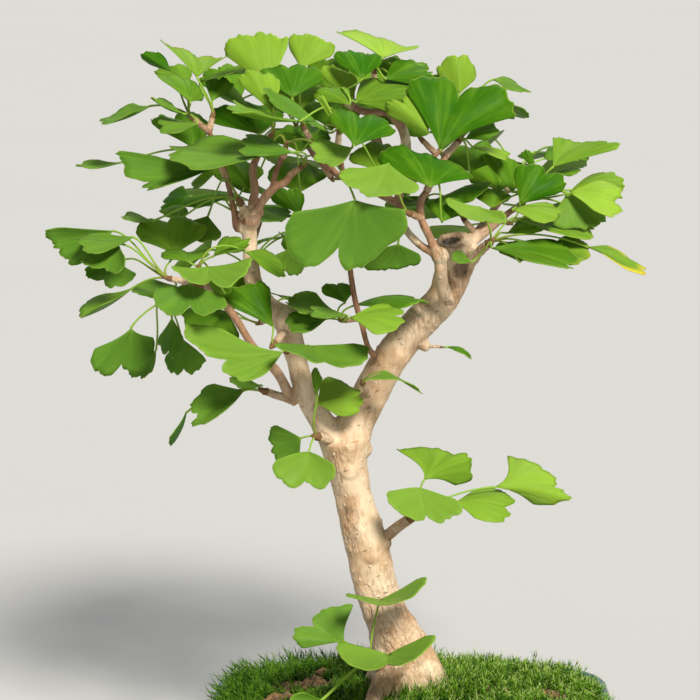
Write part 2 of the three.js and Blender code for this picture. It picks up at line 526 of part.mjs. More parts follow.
// The fan of a leaf that spreads round a shoot at the back, as its count sets it.
function spreadFan(shoot, count, serial, turn) {
  const { tip, along } = spurEnds(shoot);
  const up = new THREE.Vector3(0, 0, 1);
  const round = count * 2.4 + scatter(serial, 1) * 0.8 + turn;
  const rise = 0.1 + 0.7 * scatter(serial, 2);
  const out = new THREE.Vector3(Math.cos(round), Math.sin(round), Math.tan(rise)).normalize();
  out.addScaledVector(along, 0.7).normalize();
  const base = tip.clone().addScaledVector(out, 17 + 15 * scatter(serial, 3));
  const reach = 17 + 8 * scatter(serial, 4);
  const droop = -0.15 - 0.5 * scatter(serial, 5);
  const middle = new THREE.Vector3(out.x, out.y, 0).normalize();
  middle.z = droop;
  middle.normalize();
  const across = middle.clone().cross(up).normalize();
  across.applyAxisAngle(middle, (scatter(serial, 6) - 0.5) * 1.1);
  const half = 1.0 + 0.25 * scatter(serial, 7);
  const arm = (way) => middle.clone().multiplyScalar(Math.cos(half))
    .addScaledVector(across, way * Math.sin(half)).multiplyScalar(reach);
  return {
    base,
    first: arm(-1),
    middle: middle.clone().multiplyScalar(reach),
    second: arm(1),
    cleft: 0.08 + 0.24 * scatter(serial, 8),
  };
}

// A point on the fan's outer edge, for s from -1 at one corner to +1 at the other.
function edgePoint(fan, s, serial) {
  const bend = (1 - Math.cos(FAN_HALF_ANGLE * s)) / (1 - Math.cos(FAN_HALF_ANGLE));
  const swing = Math.sin(FAN_HALF_ANGLE * s) / Math.sin(FAN_HALF_ANGLE);
  const out = fan.middle.clone().multiplyScalar(1 - bend)
    .addScaledVector(fan.first, (bend - swing) / 2)
    .addScaledVector(fan.second, (bend + swing) / 2);
  const reach = out.length();
  const cut = fan.cleft * Math.max(0, 1 - Math.abs(s) / 0.15);
  const corner = 0.1 * Math.pow(Math.abs(s), 6);
  const wave = 0.025 * Math.sin(9 * s + serial) + 0.015 * Math.sin(17 * s + 2 * serial);
  const facing = fan.second.clone().cross(fan.first).normalize();
  const ripple = reach * 0.05 * Math.sin(4.4 * s + 1.7 * serial);
  return out.multiplyScalar(1 - cut - corner + wave).addScaledVector(facing, ripple).add(fan.base);
}

// The stations of the line that a leaf's stalk follows, from its bud to the blade's base.
function stalkLine(shoot, fan, bow) {
  const { tip, along } = spurEnds(shoot);
  const start = tip.clone().addScaledVector(along, GAP + BUD_LENGTH * 0.45);
  const span = fan.base.clone().sub(start);
  const length = span.length();
  const leave = along.clone().multiplyScalar(1 + 0.4 * bow).addScaledVector(span, 1 / length);
  const arrive = fan.middle.clone().normalize().multiplyScalar(0.5).addScaledVector(span, 1 / length);
  const lift = new THREE.Vector3(0, -0.05, 0.07).multiplyScalar(length * (1 + 2 * bow));
  const curve = new THREE.CubicBezierCurve3(
    start,
    start.clone().addScaledVector(leave.normalize(), length * 0.33).add(lift),
    fan.base.clone().addScaledVector(arrive.normalize(), -length * 0.3).add(lift),
    fan.base,
  );
  return STALK_STEPS.map((t) => curve.getPoint(t));
}

// A leaf as one closed solid: a three-sided stalk whose last ring opens into the fan.
function leafSolid(line, fan, serial, grow) {
  const radius = STALK_RADIUS + grow;
  const half = BLADE_THICK / 2 + grow;
  const facing = fan.second.clone().cross(fan.first).normalize();
  const rings = [];
  let normal = facing;
  for (let k = line.length - 1; k >= 0; k -= 1) {
    const ahead = line[Math.min(k + 1, line.length - 1)];
    const along = ahead.clone().sub(line[Math.max(k - 1, 0)]).normalize();
    normal = normal.clone().addScaledVector(along, -normal.dot(along)).normalize();
    const side = along.clone().cross(normal);
    rings.unshift([0, 1, 2].map((j) => line[k].clone()
      .addScaledVector(normal, radius * Math.cos(2 * Math.PI * j / 3))
      .addScaledVector(side, radius * Math.sin(2 * Math.PI * j / 3))));
  }
  const edge = EDGE_STEPS.map((s) => edgePoint(fan, s, serial));
  const normals = edge.map((p, k) => {
    const after = edge[Math.min(k + 1, edge.length - 1)];
    const before = edge[Math.max(k - 1, 0)];
    const out = p.clone().sub(fan.base);
    const upward = after.clone().sub(before).cross(out).normalize();
    return upward.dot(facing) < 0 ? upward.negate() : upward;
  });
  const upper = edge.map((p, k) => p.clone().addScaledVector(normals[k], half));
  const lower = edge.map((p, k) => p.clone().addScaledVector(normals[k], -half));
  const points = [...rings.flat(), ...upper, ...lower];
  const triangles = [[0, 2, 1]];
  for (let k = 0; k + 1 < rings.length; k += 1) {
    for (let j = 0; j < 3; j += 1) {
      const a = 3 * k + j;
      const b = 3 * k + (j + 1) % 3;
      triangles.push([a, b, b + 3], [a, b + 3, a + 3]);
    }
  }
  const crown = 3 * (rings.length - 1);
  const right = crown + 1;
  const left = crown + 2;
  const top = crown + 3;
  const low = top + edge.length;
  const last = edge.length - 1;
  for (let k = 0; k < last; k += 1) {
    triangles.push([crown, top + k + 1, top + k]);
    triangles.push([k < last / 2 ? left : right, low + k, low + k + 1]);
    triangles.push([top + k, top + k + 1, low + k + 1], [top + k, low + k + 1, low + k]);
  }
  triangles.push([left, low + last / 2, right]);
  triangles.push([crown, top, low], [crown, low, left]);
  triangles.push([crown, right, low + last], [crown, low + last, top + last]);
  return solidFrom(points, triangles);
}

function bud(shoot) {
  const { tip, along, radius } = spurEnds(shoot);
  const foot = tip.clone().addScaledVector(along, GAP + radius * 0.4);
  const stations = [[0, 0.95], [1, 0.5]].map(([t, r]) => ({
    at: foot.clone().addScaledVector(along, BUD_LENGTH * t),
    radius: radius * r,
  }));
  return tube(stations, 5);
}

// Every way that a leaf may be set, the preferred one first.
function settings(leaf) {
  if (leaf.row) {
    return SLIDES.flatMap((slide) => BOWS.map((bow) => ({ fan: placedFan(leaf.row, slide), bow })));
  }
  return TURNS.flatMap((turn) => BOWS.map((bow) => ({
    fan: spreadFan(leaf.shoot, leaf.count, leaf.serial, turn),
    bow,
  })));
}

const leaves = LEAVES.map((row, serial) => ({ shoot: row[0], row, serial }));
REAR_SHOOTS.forEach(([shoot, number]) => {
  for (let count = 0; count < number; count += 1) {
    leaves.push({ shoot, count, serial: leaves.length });
  }
});

const clusters = new Map();
SPUR_NAMES.forEach((shoot) => clusters.set(shoot, { bud: bud(shoot), leaves: [], blades: [] }));

// A leaf takes the first setting in which it is clear of the wood, of the ground and of the
// leaves already set. In its own cluster only the blades have to be clear.
function setLeaf(leaf, obstacles) {
  const own = clusters.get(leaf.shoot);
  const others = [...clusters].filter(([shoot]) => shoot !== leaf.shoot)
    .flatMap(([, cluster]) => [cluster.bud, ...cluster.leaves]);
  for (const { fan, bow } of settings(leaf)) {
    const line = stalkLine(leaf.shoot, fan, bow);
    const wide = leafSolid(line, fan, leaf.serial, CLEAR);
    const bladeOnly = leafSolid(line.slice(-2), fan, leaf.serial, CLEAR);
    const clashes = [...obstacles, ...others].some((other) => touches(wide, other))
      || own.blades.some((other) => touches(wide, other))
      || own.leaves.some((other) => touches(bladeOnly, other));
    if (!clashes) {
      own.leaves.push(leafSolid(line, fan, leaf.serial, 0));
      own.blades.push(leafSolid(line.slice(-2), fan, leaf.serial, 0));
      return true;
    }
  }
  return false;
}

// ---------------------------------------------------------------- pot, soil and moss

// A point on a rounded rectangle, and how many make one turn.
const TURN_POINTS = 4 * (CORNER_STEPS + 1);
function roundedPoint(k, halfX, halfY, corner) {
  const quarter = Math.floor(k / (CORNER_STEPS + 1));
  const angle = (quarter + (k % (CORNER_STEPS + 1)) / CORNER_STEPS) * Math.PI / 2;
  const signX = quarter === 0 || quarter === 3 ? 1 : -1;
  const signY = quarter < 2 ? 1 : -1;
  return [
    signX * (halfX - corner) + corner * Math.cos(angle),
    signY * (halfY - corner) + corner * Math.sin(angle),
  ];
}

function ring(inset, z) {
  const points = [];
  for (let k = 0; k < TURN_POINTS; k += 1) {
    const [x, y] = roundedPoint(k, RIM_HALF[0] - inset, RIM_HALF[1] - inset, RIM_CORNER - inset);
    points.push(new THREE.Vector3(x, y, typeof z === 'function' ? z(x, y) : z));
  }
  return points;
}

// A closed solid through rings listed from the middle of the base, out, up and back in.
function stack(rings, foot, crown) {
  const points = [...rings.flat(), foot, crown];
  const low = points.length - 2;
  const high = points.length - 1;
  const n = rings[0].length;
  const triangles = [];
  for (let k = 0; k < n; k += 1) {
    const kn = (k + 1) % n;
    triangles.push([low, kn, k]);
    for (let r = 0; r + 1 < rings.length; r += 1) {
      const a = r * n + k;
      const b = r * n + kn;
      triangles.push([a, b, b + n], [a, b + n, a + n]);
    }
    const top = (rings.length - 1) * n;
    triangles.push([high, top + k, top + kn]);
  }
  return solidFrom(points, triangles);
}

function scaledRing(share, z) {
  return ring(WALL + GAP, 0).map((p) => (
    new THREE.Vector3(p.x * share, p.y * share, z(p.x * share, p.y * share))
  ));
}

function pot() {
  const profile = [
    [FOOT_INSET + 3, FOOT_HEIGHT], [FOOT_INSET, FOOT_HEIGHT + 3], [BODY_INSET + 3, POT_HEIGHT - 22],
    [BODY_INSET, POT_HEIGHT - 8], [1, POT_HEIGHT - 6.5], [0, POT_HEIGHT - 4], [0, POT_HEIGHT - 1.5],
    [1.5, POT_HEIGHT], [WALL - 1.5, POT_HEIGHT], [WALL, POT_HEIGHT - 1.5],
    [WALL, POT_HEIGHT - 8], [WALL + 4, POT_HEIGHT - 22], [FOOT_INSET + WALL, FLOOR_TOP],
  ];
  const body = stack(
    profile.map(([inset, z]) => ring(inset, z)),
    new THREE.Vector3(0, 0, FOOT_HEIGHT),
    new THREE.Vector3(0, 0, FLOOR_TOP),
  );
  const feet = [-1, 1].flatMap((sx) => [-1, 1].map((sy) => foot(sx * FOOT_X, sy * FOOT_Y)));
  const drains = [-1, 1].map((side) => {
    const hole = new THREE.CylinderGeometry(DRAIN_RADIUS, DRAIN_RADIUS, 4 * FLOOR_TOP, 16);
    hole.rotateX(Math.PI / 2);
    hole.translate(side * DRAIN_X, 0, 0);
    return solidFromThree(hole);
  });
  return uniteAll([body, ...feet]).subtract(uniteAll(drains));
}

function foot(x, y) {
  const n = 12;
  const level = (half, z) => Array.from({ length: n }, (_, k) => {
    const angle = 2 * Math.PI * (k + 0.5) / n;
    const round = Math.pow(Math.pow(Math.cos(angle), 6) + Math.pow(Math.sin(angle), 6), -1 / 6);
    return new THREE.Vector3(
      x + (half + 4) * round * Math.cos(angle), y + (half - 1) * round * Math.sin(angle), z,
    );
  });
  return stack(
    [level(11, 0), level(12, 1), level(14, FOOT_HEIGHT + 1.5)],
    new THREE.Vector3(x, y, 0),
    new THREE.Vector3(x, y, FOOT_HEIGHT + 1.5),
  );
}

// How far out a place lies, from 0 in the middle of the pot to 1 at the inside of its rim.
function outness(x, y) {
  const fx = Math.abs(x) / (RIM_HALF[0] - WALL);
  const fy = Math.abs(y) / (RIM_HALF[1] - WALL);
  return Math.pow(Math.pow(fx, 4) + Math.pow(fy, 4), 0.25);
}

function soilTop(x, y) {
  const out = Math.min(outness(x, y), 1);
  const lumps = 0.9 * Math.sin(0.11 * x + 1) * Math.sin(0.13 * y) + 0.5 * Math.sin(0.23 * x) * Math.cos(0.19 * y + 2);
  return POT_HEIGHT - 5 + SOIL_RISE * (1 - Math.pow(out, 3.6)) + lumps * (1 - out);
}

function mossTop(x, y) {
  const out = Math.min(outness(x, y), 1);
  const tufts = 0.8 * Math.sin(0.31 * x + 0.7) * Math.sin(0.36 * y + 0.2) + 0.5 * Math.sin(0.17 * x - 0.21 * y);
  return soilTop(x, y) + GAP + MOSS_THICK + tufts * (1 - Math.pow(out, 6));
}

const SHARES = [1, 0.93, 0.8, 0.6, 0.3];

function soil() {
  const profile = [
    [FOOT_INSET + WALL + GAP, FLOOR_TOP + GAP], [WALL + 4 + GAP, POT_HEIGHT - 22],
    [WALL + GAP, POT_HEIGHT - 8],
  ];
  const sides = profile.map(([inset, z]) => ring(inset, z));
  const tops = SHARES.map((share) => scaledRing(share, soilTop));
  const fill = stack(
    [...sides, ...tops],
    new THREE.Vector3(0, 0, FLOOR_TOP + GAP),
    new THREE.Vector3(0, 0, soilTop(0, 0)),
  );
  return fill;
}

// A mound over the ground plan's shares, from a flat base up to the given height.
function mound(shares, base, height) {
  const rings = [scaledRing(shares[0], () => base), ...shares.map((share) => scaledRing(share, height))];
  return stack(rings, new THREE.Vector3(0, 0, base), new THREE.Vector3(0, 0, height(0, 0)));
}

function moss() {
  const over = mound(SHARES, POT_HEIGHT - 8, mossTop);
  const under = mound([1.05, ...SHARES], POT_HEIGHT - 12, (x, y) => soilTop(x, y) + GAP);
  return over.subtract(under);
}

function screen(side, grow) {
  const size = 22 + 2 * grow;
  const plate = new THREE.BoxGeometry(size, size, 1.2 + 2 * grow);
  plate.translate(side * DRAIN_X, 0, FLOOR_TOP + GAP + 0.6);
  const slots = [-6, -2, 2, 6].map((x) => {
    const slot = new THREE.BoxGeometry(1.8, 16, 8);
    slot.translate(side * DRAIN_X + x, 0, FLOOR_TOP);
    return solidFromThree(slot);
  });
  const sheet = solidFromThree(plate);
  return grow > 0 ? sheet : sheet.subtract(uniteAll(slots));
}

// ---------------------------------------------------------------- assembly

const rootHole = uniteAll(ROOTS.map((name) => limb(name, GAP))).add(spurHole());
function spurHole() {
  const { from, tip, radius } = spurEnds('basal');
  return tube([{ at: from, radius: radius + GAP }, { at: tip, radius: radius + GAP }], 8);
}

const recess = uniteAll([-1, 1].map((side) => screen(side, GAP)));
const soilBody = soil().subtract(rootHole).subtract(recess);
const mossBody = moss().subtract(rootHole);
const potBody = pot();

const missing = leaves.filter((leaf) => !setLeaf(leaf, [wood, soilBody, mossBody, potBody]));

const tree = new THREE.Group();
tree.name = 'ginkgo_bonsai';
tree.add(toMesh('pot', potBody, COLOURS.pot, 0.25));
tree.add(toMesh('drain_screen_left', screen(-1, 0), COLOURS.screen, 0.6));
tree.add(toMesh('drain_screen_right', screen(1, 0), COLOURS.screen, 0.6));
tree.add(toMesh('soil', soilBody, COLOURS.soil, 0.95));
tree.add(toMesh('moss', mossBody, COLOURS.moss, 0.9));
tree.add(toMesh('tree_wood', wood, COLOURS.wood, 0.8, 4 * FINEST));
for (const [shoot, cluster] of clusters) {
  tree.add(toMesh(`leaves_${shoot}`, uniteAll([cluster.bud, ...cluster.leaves]), COLOURS.leaf, 0.55));
}

// The origin is the middle of the base of the whole piece.
const box = new THREE.Box3().setFromObject(tree);
const middle = box.getCenter(new THREE.Vector3());
tree.children.forEach((mesh) => mesh.geometry.translate(-middle.x, -middle.y, -box.min.z));
tree.userData.unset = missing.map((leaf) => leaf.serial);

export default tree;
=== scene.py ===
"""The looks of a ginkgo bonsai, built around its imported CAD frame. Metres, +Z up, front towards -Y."""

import math
import random

import bpy
import numpy as np
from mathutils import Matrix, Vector, noise
from mathutils.bvhtree import BVHTree
from mathutils.kdtree import KDTree


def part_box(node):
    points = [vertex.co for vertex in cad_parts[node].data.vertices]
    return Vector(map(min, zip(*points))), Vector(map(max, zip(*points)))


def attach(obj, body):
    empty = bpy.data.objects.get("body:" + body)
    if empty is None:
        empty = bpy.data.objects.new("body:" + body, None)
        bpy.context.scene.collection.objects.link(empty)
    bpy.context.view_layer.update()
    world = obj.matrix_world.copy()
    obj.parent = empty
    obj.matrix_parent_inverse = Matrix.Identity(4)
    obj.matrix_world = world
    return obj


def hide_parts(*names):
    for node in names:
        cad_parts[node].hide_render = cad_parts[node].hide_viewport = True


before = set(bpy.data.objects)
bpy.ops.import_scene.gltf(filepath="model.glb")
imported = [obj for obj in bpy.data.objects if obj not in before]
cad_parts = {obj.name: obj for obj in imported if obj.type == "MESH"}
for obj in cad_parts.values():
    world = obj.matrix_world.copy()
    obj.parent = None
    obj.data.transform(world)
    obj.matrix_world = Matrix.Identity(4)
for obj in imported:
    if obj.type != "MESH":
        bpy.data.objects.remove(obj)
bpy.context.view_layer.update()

# ---------------------------------------------------------------- the tree's layout
# Places are across, down (half-millimetre steps on the front sight plane) and depth (mm).
STEP = 0.5
GRID_MIDDLE = 350.0
EYE_DISTANCE = 1300.0
EYE_PITCH = math.radians(10.0)
LOOK_AT_X = -33.0
LOOK_AT_Z = 239.0
EYE_BACK = EYE_DISTANCE * math.cos(EYE_PITCH)
EYE_RISE = EYE_DISTANCE * math.sin(EYE_PITCH)
VIEW_WIDTH = 350.0
SENSOR = 36.0

RIM_HALF = (103.0, 77.0)
RIM_CORNER = 32.0
BODY_INSET = 4.0
FOOT_INSET = 12.0
POT_HEIGHT = 52.0
FOOT_HEIGHT = 7.0
FLOOR_TOP = 12.0
WALL = 6.0
DRAIN_RADIUS = 7.0
DRAIN_X = 48.0
FOOT_X = 68.0
FOOT_Y = 46.0

GAP = 0.3
SOIL_RISE = 12.5
MOSS_THICK = 4.6

BLADE_THICK = 0.8
STALK_RADIUS = 0.75
BUD_LENGTH = 4.2
FAN_HALF_ANGLE = 1.15
EDGE_STEPS = np.array([-1, -0.8, -0.48, -0.14, 0, 0.14, 0.48, 0.8, 1])
STALK_STEPS = (0.0, 0.45, 1.0)
SLIDES = (0, 4, -4, 8, -8, 12, -12, 17, -17, 22, -22, 28, -28)
BOWS = (0, 1, 2, -1)
TURNS = (0, 0.45, -0.45, 0.9, -0.9, 1.4, -1.4, 1.9)

# Woody limbs: [across, down, depth, width] along each limb.
LIMBS = {
    "trunk": [[404, 716, -4, 84], [402, 694, -3, 70], [400, 670, -2, 62], [396, 640, 0, 55],
        [387, 618, 0, 47], [380, 600, 0, 44], [372, 570, 0, 44], [366, 540, 0, 45], [355, 500, 0, 38],
        [348, 464, 0, 42], [345, 440, 0, 50]],
    "root_front_left": [[400, 648, -9, 30], [392, 668, -15, 28], [380, 690, -23, 22],
        [368, 712, -32, 14]],
    "root_right": [[410, 636, -3, 30], [424, 662, -5, 30], [441, 687, -8, 24], [458, 708, -12, 14]],
    "root_left": [[392, 646, 4, 30], [379, 674, 5, 25], [366, 700, 6, 16]],
    "root_back": [[404, 646, 9, 30], [412, 660, 19, 26], [420, 674, 32, 16]],
    "right_limb": [[347, 452, 0, 42], [354, 424, 2, 40], [367, 400, 3, 37], [378, 378, 4, 36],
        [396, 350, 5, 36], [420, 322, 6, 34], [442, 300, 6, 34], [452, 278, 6, 36], [456, 259, 6, 42],
        [455, 240, 6, 39]],
    "left_limb": [[340, 450, 0, 36], [329, 432, -1, 29], [319, 416, -2, 24], [310, 402, -3, 22],
        [302, 380, -4, 22], [297, 360, -4, 21], [291, 338, -4, 25], [284, 318, -4, 24],
        [268, 302, -4, 15], [256, 287, -3, 17], [252, 274, -3, 17], [250, 246, -2, 15],
        [249, 230, -1, 16], [249, 217, -1, 17]],
    # Branches of the left limb
    "left_twig": [[247, 228, -1, 9], [237, 229, -3, 7], [234, 212, -5, 6], [231, 196, -6, 6],
        [226, 176, -6, 6], [217, 150, -4, 6], [208, 130, -2, 6]],
    "left_middle": [[250, 224, 0, 11], [252, 205, 1, 9], [255, 190, 2, 9], [253, 168, 3, 8],
        [262, 148, 0, 6]],
    "left_right": [[252, 222, -1, 11], [259, 207, -3, 9], [267, 195, -5, 9], [277, 186, -7, 8],
        [286, 182, -8, 8], [291, 173, -9, 7]],
    "left_inner": [[272, 191, -6, 7], [276, 172, -4, 6], [283, 156, -3, 6]],
    "left_stub": [[248, 224, -1, 10], [262, 211, -2, 8]],
    "lower_left": [[296, 402, -4, 12], [288, 392, -8, 11], [277, 372, -14, 10], [253, 346, -20, 8],
        [229, 309, -24, 8], [205, 290, -26, 7], [190, 282, -27, 6]],
    "left_rear": [[251, 262, -3, 11], [253, 240, 28, 9], [260, 215, 48, 7], [254, 192, 62, 6]],
    "left_low_rear": [[297, 370, -4, 12], [288, 342, 26, 9], [276, 312, 46, 7], [262, 286, 60, 6]],
    # Branches of the right limb and its sawn top
    "thin_shoot": [[378, 360, -2, 8], [368, 347, -12, 6], [362, 325, -17, 6], [355, 300, -18, 6],
        [350, 268, -15, 6], [349, 246, -10, 5]],
    "front_shoot": [[448, 306, -4, 16], [442, 284, -16, 13], [440, 260, -20, 13], [437, 252, -20, 12]],
    "leader": [[438, 256, -19, 9], [428, 250, -19, 8], [419, 244, -17, 8], [405, 228, -9, 8],
        [399, 205, -2, 8], [401, 172, 4, 10], [406, 148, 6, 11], [402, 128, 8, 10], [388, 112, 8, 8],
        [377, 98, 8, 7], [374, 80, 8, 6]],
    "leader_twig": [[386, 112, 8, 8], [366, 112, 4, 8], [352, 106, 3, 7]],
    "red_shoot": [[437, 255, -20, 10], [430, 238, -22, 8], [421, 218, -24, 8], [421, 201, -25, 8],
        [428, 189, -25, 7], [438, 170, -19, 7], [446, 155, -14, 7]],
    "right_shoot": [[462, 262, 0, 15], [476, 253, -3, 12], [482, 250, -5, 10]],
    "right_rear": [[462, 264, 12, 15], [476, 236, 32, 10], [492, 212, 50, 8], [506, 192, 64, 6]],
    "right_high": [[468, 246, 10, 12], [490, 228, 12, 9], [507, 214, 11, 7], [514, 209, 10, 6]],
    "crown_left": [[400, 204, -1, 8], [370, 190, 10, 7], [340, 176, 16, 6], [320, 154, 17, 6],
        [309, 138, 16, 6]],
    "crown_front": [[344, 178, 15, 6], [340, 158, 4, 6], [338, 142, -3, 6]],
    "crown_rear": [[402, 172, 6, 9], [390, 156, 30, 8], [374, 140, 54, 7], [362, 126, 68, 6]],
    "crown_right_rear": [[402, 188, 4, 9], [420, 170, 26, 7], [440, 150, 46, 6], [454, 132, 60, 6]],
    "crown_rear_left": [[338, 176, 16, 6], [318, 160, 36, 6], [304, 140, 54, 6]],
}

# Knobs and healed scars: [across, down, depth, radius in mm]
KNOBS = [
    [363, 449, 2, 5], [288, 320, -5, 8], [425, 346, 3, 3.2], [372, 556, -6, 6],
    [350, 470, -5, 7], [394, 642, -8, 7], [411, 658, -8, 7], [250, 220, -2, 5.5],
    [440, 256, -20, 4.5], [384, 543, -4, 4], [468, 254, 4, 7],
]

# Short shoots that carry the leaves: [from across, down, depth, tip across, down, depth, width]
SPURS = {
    "low_right": [374, 545, 0, 409, 519, -10, 11],
    "basal": [384, 668, -14, 373, 662, -25, 8],
    "trunk_left": [332, 440, -6, 319, 437, -13, 9],
    "limb_left": [292, 400, -6, 267, 392, -12, 8],
    "knuckle": [296, 352, -4, 287, 351, -17, 8],
    "lower_end": [190, 283, -27, 168, 298, -21, 6],
    "lower_left": [192, 283, -27, 172, 279, -28, 6],
    "lower_mid": [210, 293, -26, 201, 273, -30, 6],
    "knob_front": [287, 330, -8, 275, 343, -19, 8],
    "knob_left": [248, 218, -4, 241, 204, -11, 8],
    "twig_left": [226, 178, -6, 220, 165, -12, 6],
    "top_left": [208, 131, -2, 194, 119, -4, 6],
    "top_left_right": [209, 131, -2, 212, 119, 2, 6],
    "top_mid": [261, 150, 0, 270, 137, -5, 6],
    "elbow": [290, 175, -9, 300, 168, -11, 6],
    "inner_top": [283, 158, -3, 285, 150, -4, 6],
    "crown_left": [310, 140, 16, 305, 130, 16, 6],
    "crown_front": [338, 144, -3, 339, 133, -7, 6],
    "leader_side": [353, 107, 3, 345, 102, 1, 7],
    "leader_top": [374, 82, 8, 374, 74, 8, 6],
    "red_end": [445, 156, -14, 457, 143, -9, 7],
    "red_mid": [427, 190, -25, 432, 181, -29, 7],
    "red_low": [422, 218, -24, 411, 214, -28, 7],
    "right": [481, 250, -5, 488, 244, -9, 9],
    "right_high": [513, 210, 10, 521, 204, 9, 6],
    "thin_side": [360, 318, -17, 346, 320, -24, 6],
    "thin_top": [349, 248, -10, 344, 240, -6, 6],
    "limb_bud": [369, 396, -3, 363, 384, -16, 6],
    "limb_right": [426, 346, 2, 440, 347, 0, 6],
    "rear_a": [255, 194, 61, 250, 182, 70, 6],
    "rear_b": [258, 220, 46, 240, 214, 54, 6],
    "rear_c": [263, 288, 58, 254, 274, 66, 6],
    "rear_d": [278, 316, 42, 262, 322, 50, 6],
    "rear_e": [505, 194, 63, 512, 182, 71, 6],
    "rear_f": [490, 216, 47, 506, 222, 54, 6],
    "rear_g": [362, 128, 67, 356, 116, 74, 6],
    "rear_h": [380, 146, 46, 376, 130, 50, 6],
    "rear_i": [453, 134, 59, 460, 122, 66, 6],
    "rear_j": [436, 154, 42, 424, 142, 46, 6],
    "rear_k": [305, 142, 53, 298, 130, 60, 6],
    "rear_l": [322, 164, 31, 330, 176, 38, 6],
    "rear_m": [478, 236, 31, 466, 222, 38, 6],
}

